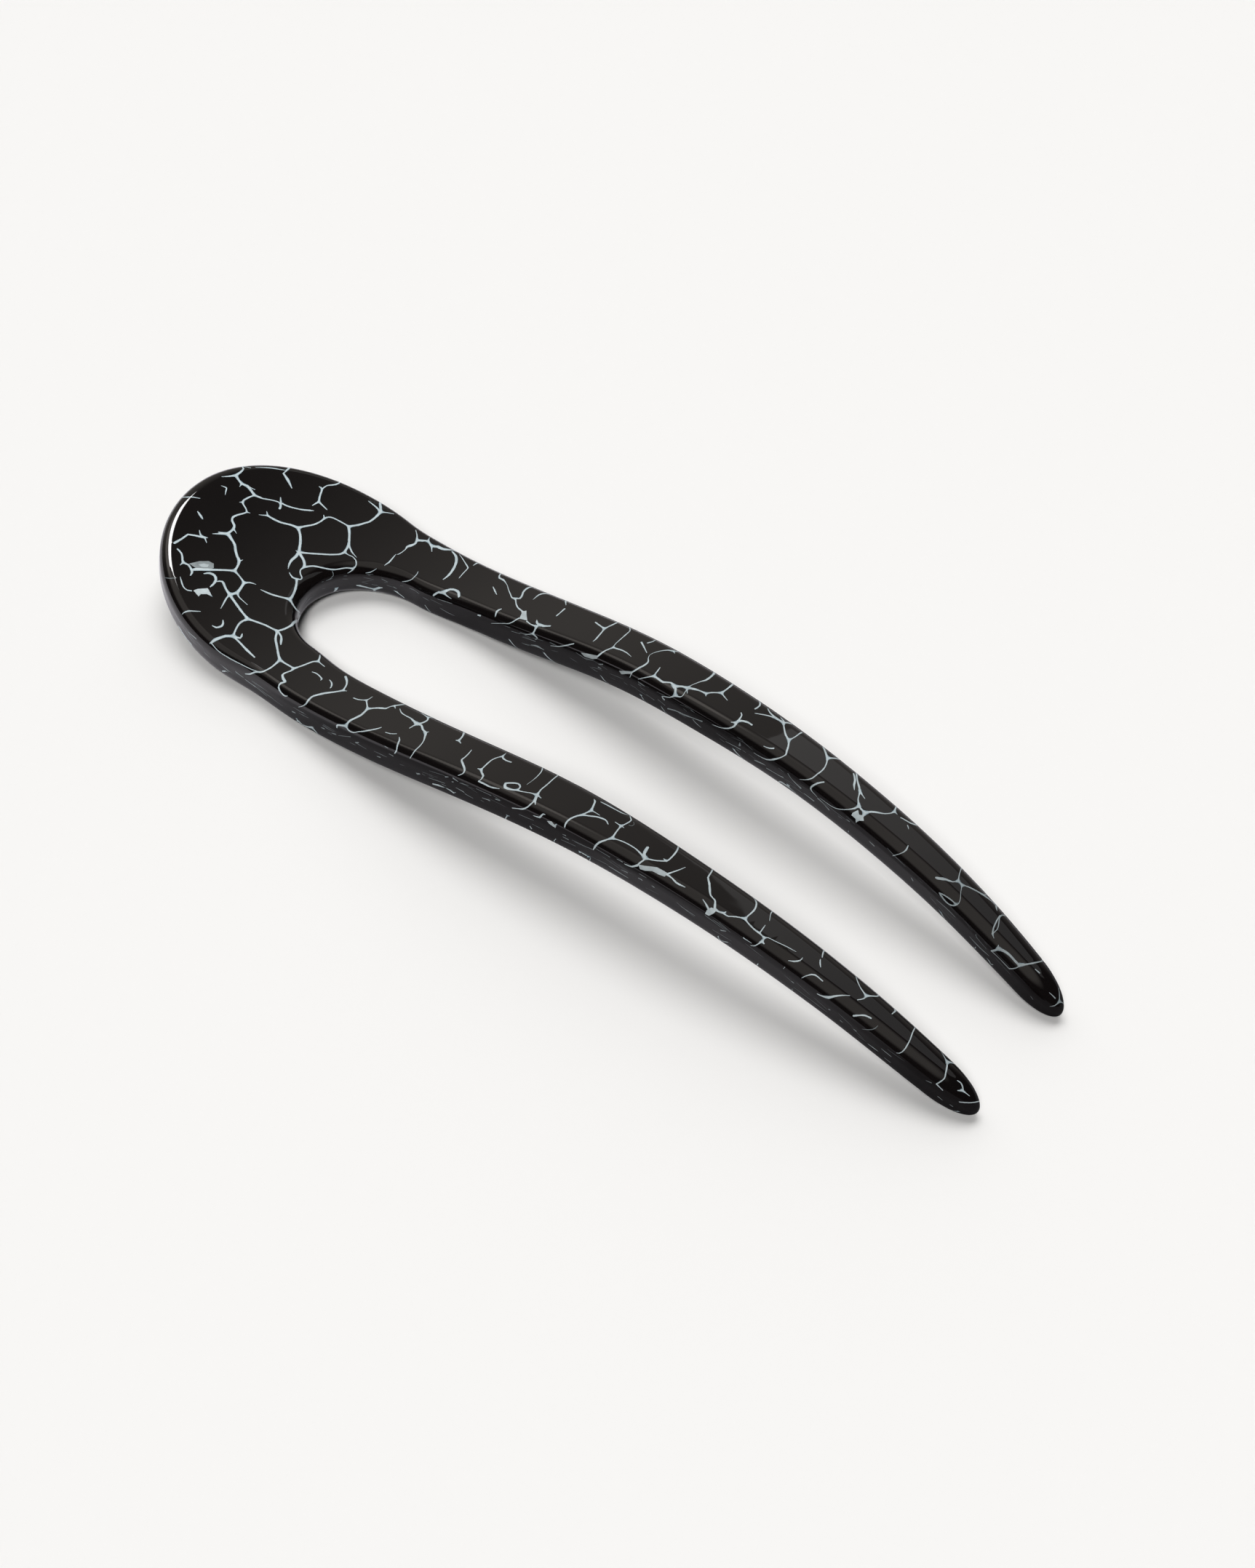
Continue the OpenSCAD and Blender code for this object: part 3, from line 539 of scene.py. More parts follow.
NEAR_LINES = [
    [(29.1, -11.15, .3), (29.42, -10.2, .28), (29.75, -9.1, .28), (30.17, -8.72, .24)],
    [(30.17, -8.72, .22), (29.75, -8.2, .2), (29.3, -7.8, .1)],
    [(30.17, -8.72, .14), (30.7, -8.8, .12), (31.4, -8.88, .1)],
    [(29.1, -11.15, .3), (29.15, -11.6, .28), (29, -12.1, .28), (29, -12.6, .32),
     (29.65, -13, .36), (30.2, -13.2, .34), (29.95, -13.6, .3), (29.95, -14.05, .28),
     (30.5, -14.33, .18), (31.15, -14.42, .12), (31.6, -14.3, .05)],
    [(31.1, -10.3, .1), (31.75, -10.2, .18), (32.5, -10.33, .18), (32.95, -10.5, .2),
     (33, -10.7, .12)],
    [(33.75, -10.1, .12), (34.3, -10.28, .18), (34.75, -10.63, .2), (34.97, -10.97, .16)],
    [(34.65, -8.7, .3), (35.3, -9.05, .28), (35.9, -9.55, .24), (36.25, -10.1, .2),
     (36.47, -10.5, .26)],
    [(36.47, -10.5, .2), (36.87, -10.33, .1)],
    [(36.47, -10.5, .26), (35.85, -11.25, .34), (35.25, -11.9, .42), (34.8, -12.6, .4),
     (34.6, -13.1, .34), (34.7, -13.6, .34), (34.7, -14, .26), (34.5, -14.25, .12),
     (34, -14.5, .06), (33.4, -14.68, .04)],
    [(38.5, -10.75, .14), (39.15, -10.67, .18), (39.67, -10.45, .18), (40, -10.25, .22)],
    [(40, -10.25, .22), (40.08, -10, .16), (40.05, -9.45, .05)],
    [(40, -10.25, .22), (40.35, -10.5, .18), (40.85, -10.85, .18), (41.4, -11.25, .26)],
    [(41.4, -11.25, .28), (42, -10.7, .32), (42.6, -10.35, .34), (43.05, -10.15, .3),
     (43.15, -9.75, .16), (43.4, -9.3, .2)],
    [(43.4, -9.3, .2), (43.9, -9.6, .1)],
    [(43.4, -9.3, .22), (43.75, -9, .2), (44, -8.65, .22), (43.9, -8.3, .24),
     (43.4, -7.8, .2), (42.6, -7.2, .1)],
    [(41.4, -11.25, .3), (41.55, -11.7, .36), (41.7, -12.3, .4), (41.65, -12.85, .42),
     (41.55, -13.35, .4), (41.45, -13.85, .36), (41.35, -14.25, .36)],
    [(41.35, -14.25, .26), (40.85, -14.35, .2), (40, -14.5, .18), (39.75, -14.7, .24)],
    [(41.35, -14.25, .3), (41.75, -14.5, .16), (42.5, -14.5, .08), (43.3, -14.25, .1),
     (44.15, -13.97, .16), (44.85, -13.55, .26), (45.25, -13.05, .26), (45.4, -12.7, .12)],
    [(44.4, -9.4, .08), (44.85, -9.67, .13), (45.35, -9.85, .16), (46, -9.92, .16),
     (46.85, -9.97, .2), (47.35, -10.1, .3), (48.25, -10.3, .5)],
    [(48.25, -10.3, .44), (48.55, -9.9, .32), (48.65, -9.4, .28), (48.5, -9.1, .24),
     (48.25, -8.85, .24)],
    [(48.25, -8.85, .22), (48.55, -8.55, .22), (48.35, -8.2, .24), (47.9, -7.85, .2),
     (47.2, -7.5, .1)],
    [(48.25, -8.85, .2), (47.7, -8.8, .16), (46.9, -8.6, .12), (46.6, -8.55, .06)],
    [(48.25, -10.3, .36), (48.15, -10.8, .24), (48.15, -11.25, .12)],
    [(48.25, -10.3, .46), (48.85, -10.25, .28), (49.5, -10.65, .26), (50.3, -10.92, .3),
     (50.7, -11.35, .3), (51.25, -12, .16), (51.6, -12.7, .16), (51.77, -13.4, .2),
     (51.65, -14, .14), (51.3, -14.4, .06)],
    [(50.3, -10.92, .26), (50.42, -10.65, .12)],
    [(46.5, -13.08, .1), (47.2, -12.95, .15), (47.75, -12.63, .14)],
    [(48.5, -12.9, .1), (49, -13.3, .22), (49.25, -13.85, .25), (49.28, -14.3, .2),
     (48.9, -14.6, .08)],
    [(52.4, -7.4, .1), (53.1, -8.1, .2), (53.5, -8.6, .22), (53.9, -9, .26), (54.2, -9.5, .26),
     (54.35, -10.05, .24)],
    [(54.35, -10.05, .2), (54.12, -10.17, .16)],
    [(54.35, -10.05, .2), (54.9, -10.25, .1)],
    [(56.75, -10.45, .08), (56.97, -11, .18), (57.15, -11.7, .2), (57.2, -12.15, .24),
     (57.65, -12.45, .26), (58.35, -12.85, .3), (58.8, -13.2, .24), (58.75, -13.55, .13),
     (58.25, -13.85, .06)],
    [(60.08, -8.9, .08), (60.15, -9.4, .18)],
    [(60.15, -9.4, .2), (60.45, -9.62, .24), (61, -9.7, .24), (61.6, -9.6, .22)],
    [(60.15, -9.4, .16), (59.85, -10, .2), (59.75, -10.5, .2), (59.85, -11.15, .22),
     (60, -11.8, .2), (60.05, -12.15, .24)],
    [(60.05, -12.15, .2), (59.7, -12.25, .16)],
    [(60.05, -12.15, .24), (60.55, -12.5, .28), (61.05, -12.75, .28), (61.15, -13.2, .12),
     (60.95, -13.45, .14)],
    [(60.95, -13.45, .16), (61.65, -13.4, .2), (62.65, -13.35, .16), (63.65, -13.1, .08)],
    [(64.1, -7.7, .08), (64.6, -8.25, .15), (65.1, -8.85, .15), (65.35, -9.65, .12),
     (65.45, -10.35, .08), (65.5, -11.15, .04)],
    [(66.3, -7.7, .1), (66.75, -8.35, .18), (66.9, -9.15, .18), (67.05, -10, .18),
     (67.15, -10.85, .18), (67.45, -11.6, .26)],
    [(67.45, -11.6, .18), (68.1, -11.72, .12)],
    [(67.45, -11.6, .24), (66.65, -11.85, .16), (66, -12.15, .15), (65.4, -12.35, .2)],
    [(65.4, -12.35, .2), (65.28, -11.8, .2), (64.75, -11.56, .24), (64.15, -11.85, .3),
     (63.7, -12.25, .3)],
    [(63.7, -12.25, .34), (64.1, -12.7, .42), (64.85, -12.58, .3), (65.4, -12.35, .2)],
    [(67.45, -11.6, .3), (67.85, -12.2, .34), (68.25, -12.65, .1)],
    [(67.85, -12.2, .3), (67.85, -12.65, .2), (67.5, -13.2, .16), (66.85, -13.6, .14),
     (66, -13.85, .08), (65.35, -14.05, .12)],
    [(68.2, -13.6, .05), (69, -13.45, .16), (69.25, -13.25, .2), (69.5, -13, .14),
     (69.75, -12.95, .06)],
    [(72.1, -8.6, .08), (72.4, -8.75, .26), (72.65, -9.15, .24), (73.1, -9.92, .24)],
    [(73.1, -9.92, .18), (73.5, -9.87, .14), (74.2, -9.87, .06)],
    [(73.1, -9.92, .24), (72.97, -10.5, .24), (72.92, -10.9, .26)],
    [(72.92, -10.9, .24), (73.5, -10.6, .22), (74.15, -10.2, .26), (75, -9.98, .2),
     (75.4, -10.08, .16), (75.7, -10.25, .08)],
    [(72.92, -10.9, .26), (72.65, -11.35, .28), (72.45, -12, .28), (72.3, -12.6, .26),
     (72.25, -12.95, .2)],
    [(72.85, -8.45, .1), (73.5, -8.37, .18), (75, -8.25, .18), (75.7, -8.13, .16),
     (76, -7.7, .08)],
    [(75.9, -7.6, .08), (76.5, -8.1, .14), (76.87, -8.4, .18), (76.87, -9, .2),
     (76.75, -9.58, .2)],
    [(76.75, -9.58, .14), (75.95, -9.58, .1)],
    [(76.75, -9.58, .14), (77.1, -9.58, .1)],
    [(76.75, -9.58, .2), (76.9, -10.15, .22), (77.15, -10.85, .24), (77.35, -11.38, .28)],
    [(77.35, -11.38, .24), (78, -11.1, .18), (79, -10.9, .18), (80, -10.87, .2),
     (80.6, -10.97, .24), (81.5, -11.15, .4)],
    [(77.35, -11.38, .26), (77, -11.9, .22), (76.5, -12.4, .22), (76.1, -12.9, .22),
     (75.75, -13.3, .1)],
    [(81.5, -11.15, .42), (81, -10.8, .4), (80.75, -10.3, .42), (80.62, -9.97, .4)],
    [(81.5, -11.15, .3), (82, -10.9, .22), (82.5, -10.6, .2), (83.15, -10.02, .24)],
    [(83.15, -10.02, .2), (82.75, -10, .12)],
    [(83.15, -10.02, .22), (83.15, -9.65, .22), (83, -8.85, .24), (82.75, -8.2, .22),
     (82.4, -7.7, .2), (81.9, -7.1, .08)],
    [(81.5, -11.15, .36), (81.5, -11.5, .24), (81.35, -11.85, .24), (81.25, -12.1, .28)],
    [(81.25, -12.1, .28), (80.65, -12.5, .16), (80.15, -12.63, .12), (79.7, -12.7, .05)],
    [(84.35, -11.2, .3), (84.5, -10.75, .24), (84.75, -10, .16), (84.9, -9.35, .08)],
    [(84.35, -11.2, .3), (85, -11.2, .16), (85.65, -11.3, .24), (86.6, -11.15, .1)],
    [(86, -6.4, .08), (86.4, -7, .2), (86.65, -7.5, .2), (87, -8.15, .2), (87.25, -8.8, .24),
     (87.85, -9.25, .28), (88.5, -9.85, .3), (89, -10.25, .18), (89.6, -10.37, .2),
     (89.9, -10.6, .26), (90.25, -11.05, .4)],
    [(89.7, -11.4, .3), (89.25, -11.2, .2), (88.75, -11.05, .07)],
    [(90.25, -11.05, .4), (90.65, -11.05, .24), (91.2, -10.9, .2), (91.75, -10.83, .16),
     (92.35, -10.4, .18), (93.05, -9.98, .24)],
    [(91.2, -10.9, .2), (91.3, -10.65, .12)],
    [(93.05, -9.98, .22), (93, -9.5, .22), (92.9, -8.65, .24), (92.65, -8.1, .22),
     (92.25, -7.65, .22), (91.6, -7.2, .1)],
    [(93.05, -9.98, .24), (93.5, -10.13, .22), (94.35, -10.25, .2), (95.08, -10.25, .22)],
    [(95.08, -10.25, .2), (95.05, -10, .18), (94.9, -9.5, .14), (94.8, -9.15, .06)],
    [(94.7, -8.5, .05), (94.25, -7.9, .1), (94, -7.4, .16), (93.9, -6.8, .1)],
    [(95.08, -10.25, .16), (95.75, -10.25, .14)],
    [(95.75, -10.25, .12), (96, -10.02, .14), (96.7, -9.85, .12), (97.85, -9.5, .14),
     (98.75, -9.3, .06)],
    [(95.75, -10.25, .2), (95.8, -10.65, .2), (95.4, -11.35, .12), (94.9, -11.65, .05)],
    [(95.8, -10.65, .22), (96.08, -10.7, .18)],
    [(94, -11.5, .12), (94.95, -11.4, .05)],
    [(99.6, -9.35, .08), (99.65, -9.75, .2), (99.35, -10.15, .2), (98.87, -10.45, .08)],
    [(99.9, -6, .12), (100.1, -6.4, .24), (100.2, -7.1, .22), (100.45, -7.6, .2),
     (100.7, -7.95, .1)],
    [(100.75, -8.25, .12), (101, -8.55, .2), (101.35, -8.85, .12)],
    [(100.75, -10.85, .08), (101.15, -10.25, .16), (101.6, -9.85, .2), (102.5, -9.8, .14)],
    [(103.9, -5.9, .06), (103.9, -6.6, .14), (104.1, -7, .15), (104.65, -7.45, .15),
     (105.3, -7.75, .15), (106.1, -7.95, .2)],
    [(106.1, -7.95, .2), (106.65, -7.15, .2), (106.6, -6.6, .2), (106.4, -5.9, .18),
     (105.8, -5.3, .08)],
    [(106.1, -7.95, .18), (106.15, -8.35, .18), (105.9, -8.9, .12)],
    [(105.15, -9.1, .08), (104.7, -9.55, .16), (104.2, -10.1, .3), (103.8, -10.55, .34),
     (103.15, -10.9, .18), (102.65, -11.05, .08)],
    [(107.95, -9.3, .22), (107.4, -9.5, .24), (107, -9.85, .2), (106.6, -10.25, .3)],
    [(108.3, -5.8, .1), (108.5, -6.35, .5), (108.75, -6.9, .24), (108.83, -7.5, .14)],
    [(110.75, -5.4, .1), (110.85, -6.1, .2), (111, -6.6, .2), (111.25, -7.35, .16),
     (111.65, -8.15, .15), (111.9, -8.85, .16), (111.97, -9.35, .16), (111.85, -9.75, .1),
     (111.6, -9.97, .05)],
    [(115.15, -7, .2), (114.65, -6.75, .15), (114.1, -6.4, .12), (113.6, -5.9, .06)],
    [(115.15, -7, .28), (115.5, -6.4, .28), (115.7, -5.7, .12)],
    [(115.15, -7, .25), (115.5, -7.4, .24), (115.9, -8, .2), (116.15, -8.4, .18),
     (116.1, -8.9, .16), (116, -9.3, .2)],
    [(116, -9.3, .2), (116.75, -9.25, .1)],
    [(117, -7.6, .12), (117.35, -7.47, .18), (117.75, -7.6, .2), (117.9, -7.8, .2),
     (117.65, -8.15, .12)],
    [(117.9, -7.8, .2), (118.65, -7.5, .08)],
    [(119.1, -5.5, .06), (119.4, -6.35, .12), (119.4, -7, .12), (119.15, -7.65, .12),
     (118.65, -8.35, .12), (118.4, -8.65, .08)],
]

# Greyer, fainter lines
FAINT_LINES = [
    [(19.4, 2.1, .08), (19.85, 2, .1), (20, 1.4, .05)],
    [(9.8, -11.6, .08), (9.3, -12.1, .1), (8.4, -12.3, .05)],
    [(75.75, -13.3, .08), (74, -13.6, .05), (73.2, -13.7, .04)],
    [(77.2, -8.4, .05), (77.5, -8.65, .07), (77.4, -8.95, .07), (77.15, -9, .05)],
    [(89.5, -12.1, .07), (91.8, -12.1, .05)],
    [(115.6, -9.6, .14), (115.1, -9.87, .06)],
    [(108.85, -9.35, .06), (108.8, -9.75, .12), (108.5, -10.15, .1), (107.85, -10.65, .05)],
    [(39.2, -15.4, .04), (41.8, -14.95, .06)],
    [(53, -15.4, .05), (55.5, -15.17, .09)],
    [(60.7, -14.12, .05), (62.7, -14, .07)],
    [(76.1, -13.05, .05), (77.9, -12.97, .08)],
    [(86.3, -13.05, .06), (88, -12.97, .1)],
    [(88.15, 6.53, .08), (90, 6.45, .05), (92.3, 6.4, .04)],
    [(42.7, 7.5, .05), (44, 7.6, .07)],
    [(44.5, 7.4, .05), (46.5, 7.5, .08)],
    [(112.2, 5.2, .05), (114.2, 5.05, .05)],
    [(64, 6.8, .05), (65.3, 6.6, .07)],
    [(65.7, 6.85, .05), (66.9, 6.6, .06)],
]

# Short lines on the walls that the camera sees
WALL_LINES = [
    [(15, -15.1, .06), (16.7, -15.12, .1)],
    [(22.4, -15.2, .1), (23.3, -15.2, .06)],
    [(23.5, -15.25, .06), (25, -15.25, .1)],
    [(20.3, -15.7, .08), (21, -15.7, .06)],
    [(31.3, -15.43, .08), (31.9, -15.4, .12)],
    [(36.25, -15.47, .06), (36.85, -15.43, .12)],
    [(38, -15.48, .06), (38.75, -15.42, .12)],
    [(42.2, -15.28, .12), (42.9, -15.12, .06)],
    [(45, -15.65, .06), (45.6, -15.6, .1)],
    [(47.5, -14.4, .07), (47.95, -14.42, .05)],
    [(47.9, -14.85, .05), (48.5, -14.88, .09)],
    [(51.1, -15.55, .16), (51.7, -15.42, .1)],
    [(56.3, -14.5, .12), (56.8, -14.38, .06)],
    [(57.1, -14.65, .08), (57.4, -14.57, .05)],
    [(57.5, -14.27, .15), (58.15, -14.33, .07)],
    [(57.2, -15.05, .06), (58.2, -15.1, .12)],
    [(58.2, -15.22, .08), (59.2, -15.28, .05)],
    [(61, -14.7, .05), (62.1, -14.55, .14)],
    [(63.2, -14.1, .08), (63.8, -14, .1)],
    [(71.6, -13.95, .06), (72.3, -13.9, .12)],
    [(71.8, -13.68, .05), (72.2, -13.62, .1)],
    [(77.1, -14.05, .06), (78.3, -14, .13), (79.5, -13.95, .06)],
    [(79, -13.5, .05), (79.8, -13.38, .1)],
    [(78.8, -12.72, .05), (79.5, -12.65, .1)],
    [(81.2, -13.17, .07), (81.7, -13.1, .16)],
    [(82.9, -13, .06), (83.2, -12.98, .14)],
    [(91.25, -12.45, .14), (92, -12.1, .08)],
    [(98.75, -11.35, .1), (98.85, -11.12, .1)],
    [(99.6, -12, .06), (99.9, -11.98, .14)],
    [(104, -11.7, .06), (104.2, -11.62, .14)],
    [(105.4, -11.87, .12), (105.7, -11.83, .06)],
    [(107, -11.5, .1), (107.3, -11.48, .14)],
    [(108.7, -11.77, .06), (109.4, -11.66, .18), (109.9, -11.58, .08)],
    [(110.7, -11.67, .05), (111.4, -11.6, .09)],
    [(110.2, -10.88, .08), (111.3, -10.78, .14)],
    [(116.7, -10.38, .14), (117.2, -10.28, .06)],
    [(117.9, -9.95, .06), (118.2, -9.83, .13)],
    [(46.1, 7, .06), (47, 7.1, .2), (48.1, 7.02, .06)],
    [(62.3, 7.68, .07), (63.3, 7.55, .07)],
    [(56.2, 7.75, .06), (56.8, 7.87, .14)],
    [(56.3, 7.45, .1), (56.8, 7.42, .06)],
    [(67.4, 6.4, .2), (68.5, 6.6, .15), (69.75, 6.65, .2), (71.2, 6.85, .1), (72.05, 6.97, .2)],
    [(70.9, 6.65, .08), (71.5, 6.42, .12), (72.3, 6.25, .05)],
    [(77.3, 7, .1), (77.45, 6.75, .34)],
    [(75.8, 6.25, .05), (77.8, 6.35, .14)],
    [(79.85, 6.1, .14), (80.6, 6.22, .2), (81.25, 6.3, .06)],
    [(81.5, 6.05, .08), (83, 6.12, .1), (83.7, 6.2, .15)],
    [(83.85, 6.97, .08), (84.65, 6.63, .08), (86, 6.33, .24)],
    [(86.6, 6, .06), (88, 5.9, .2)],
    [(88.15, 6.53, .2), (89, 6.37, .08), (89.9, 6.12, .2)],
    [(95.3, 5.95, .08), (96, 5.85, .24)],
    [(92, 6.5, .06), (92.4, 6.48, .14)],
    [(101, 5.62, .1), (101.3, 5.45, .2)],
    [(104.3, 5.6, .06), (105.7, 5.62, .15), (106.8, 5.53, .06)],
    [(109.4, 5.67, .15), (109.7, 5.47, .1), (111, 5.25, .05)],
    [(109, 4.8, .06), (109.7, 4.7, .2), (110.7, 4.66, .24), (111.6, 4.74, .08)],
    [(117, 4.95, .14), (117.3, 4.88, .1)],
]

# Filled patches between lines, each with its tone: near 1 it is opaque, and lower it is milky
PATCHES = [
    (0.95, [(12.3, -11.3), (13.3, -11.4), (13.2, -11), (13.6, -10.5), (14.3, -10.3), (13, -9.9),
            (12.8, -10.2), (12.4, -10.8)]),
    (0.6, [(21.4, -4), (22.2, -4.1), (22.7, -3.6), (22.2, -3.1)]),
    (0.45, [(9, -9.3), (10, -9.1), (10.9, -8.3), (11.1, -7.6), (10.6, -7.2), (10, -7.4),
            (9.4, -8.2)]),
    (0.8, [(9.7, -8.6), (10.2, -8.5), (10.6, -8), (10.4, -7.7), (9.95, -8)]),
    (0.9, [(42, 9.9), (42.35, 9.6), (42.85, 8.85), (44, 9), (43, 9.75), (42.35, 10.3)]),
    (0.7, [(55.75, 8.15), (55.6, 8.4), (54.3, 8.25), (53.25, 8.1), (54, 7.9), (55.2, 7.97)]),
    (0.7, [(61.05, 8.1), (61, 8.3), (60.3, 8.15), (59.25, 7.9), (59.75, 7.7), (60.85, 8.05)]),
    (1.0, [(92.15, 7.15), (92.75, 7.1), (93, 6.8), (93.15, 7.15), (93.55, 7.4), (93.15, 7.75),
           (92.75, 7.6), (92.35, 7.9), (92.1, 7.4)]),
    (0.85, [(70, -13.35), (70.3, -13.47), (71, -13.5), (71.3, -13.05), (70.95, -13.28),
            (70.6, -13.15)]),
    (0.75, [(81.3, -12), (81.6, -12.25), (82.2, -12.1), (82.9, -11.75), (83.7, -11.65),
            (84.3, -11.5), (84.4, -11.05), (83.9, -11.1), (83.1, -11.2), (82.6, -11.45),
            (82, -11.75)]),
    (0.95, [(89.9, -11.15), (89.6, -11.6), (89.5, -11.97), (89.95, -11.9), (90.4, -11.4),
            (90.5, -11)]),
]


# The lines get finer and greyer along the prongs. Shares of the charted width and tone, by u.
WEIGHT_AT = (8, 18, 30, 60, 90, 120)
WIDTH_SHARE = (1.0, 0.92, 0.83, 0.75, 0.69, 0.60)
TONE_SHARE = (1.0, 0.93, 0.88, 0.80, 0.75, 0.68)
FAR_TIP_AT, FAR_TIP_SHARE = (92, 106), (1.0, 0.62)

# Charted tones, where 0 is the body's colour and 1 the palest
LINE_TONE, FAINT_TONE, WALL_TONE = 1.0, 0.3, 0.5

# A line's least charted width, how its width wavers, and its longest step along a curve
THINNEST, WAVER, STEP = 0.03, (0.88, 1.12), 0.28
# A line's rounded end, in shares of its width: how far its tip and its shoulders reach out, and
# how wide it is at the shoulders
CAP_TIP, CAP_SHOULDER, CAP_WIDE = 0.45, 0.3, 0.7
# Webs fill corners between these angles, in radians. They reach out by a share of the lines'
# width and a little more, but only so far along the first stretch of a line.
WEB_ANGLES = (0.35, 2.9)
WEB_REACH, WEB_MORE, WEB_STRETCH = 1.25, 0.12, 0.6
# A patch counts as this deep inside, and a little beyond its own border
PATCH_CORE, PATCH_GROWTH = 0.75, 1.04

# The net of the underside: its seeds' spacing and shift, the share of the cell edges that it
# keeps, the share of those that end early, and the lines' widths and bows
NET_U, NET_Y = (-6, 126), (-18, 18)
NET_SPACING, NET_SHIFT = 4.6, (0.05, 0.95)
NET_KEPT, NET_CUT = 0.62, 0.3
NET_WIDTH, NET_BOW = (0.14, 0.4), (-0.2, 0.2)

# Fine streaks on each wall: how many, the highest and lowest place on it in millimetres, their
# length in sections, their lean in millimetres a section, and their width, tone and step
DASHES = 80
DASH_HIGH, DASH_LOW = -0.7, 0.85
DASH_REACH, DASH_LEAN = (0.8, 4.5), (-0.07, 0.11)
DASH_WIDTH, DASH_TONE, DASH_STEP = (0.035, 0.08), (0.12, 0.4), 1.0

# Polygons below this area are left out. Points nearer than these are one: of the map, of the
# net's seeds, and of the seam between the top and the bottom.
SMALLEST = 1e-5
MAP_WELD, NET_WELD, SEAM_WELD = 1e-5, 1e-6, 0.002


def ccw(polygon):
    """The polygon as plain tuples, anticlockwise, or None if it is next to nothing."""
    points = [tuple(map(float, p)) for p in polygon]
    area = sum(a[0] * b[1] - b[0] * a[1] for a, b in zip(points, points[1:] + points[:1])) / 2
    if abs(area) < SMALLEST:
        return None
    return points if area > 0 else points[::-1]


def tone_share(spots):
    """How much of its charted tone a line or patch keeps, by its middle."""
    u, y = np.mean(spots, axis=0)[:2]
    share = np.interp(u, WEIGHT_AT, TONE_SHARE)
    return float(share * np.interp(u, FAR_TIP_AT, FAR_TIP_SHARE) if y > 0 else share)


def resample(line, step):
    """A smooth curve through a line's points, as (u, y, width)."""
    p = np.array(line, float)
    p = np.vstack([2 * p[0] - p[1], p, 2 * p[-1] - p[-2]])
    made = []
    for i in range(1, len(p) - 2):
        n = max(2, int(np.linalg.norm(p[i + 1, :2] - p[i, :2]) / step))
        for s in np.arange(n) / n:
            made.append(0.5 * (2 * p[i] + (p[i + 1] - p[i - 1]) * s
                               + (2 * p[i - 1] - 5 * p[i] + 4 * p[i + 1] - p[i + 2]) * s ** 2
                               + (3 * p[i] - p[i - 1] - 3 * p[i + 1] + p[i + 2]) * s ** 3))
    made.append(p[-2])
    made = np.array(made)
    made[:, 2] = np.maximum(made[:, 2], THINNEST)
    return made


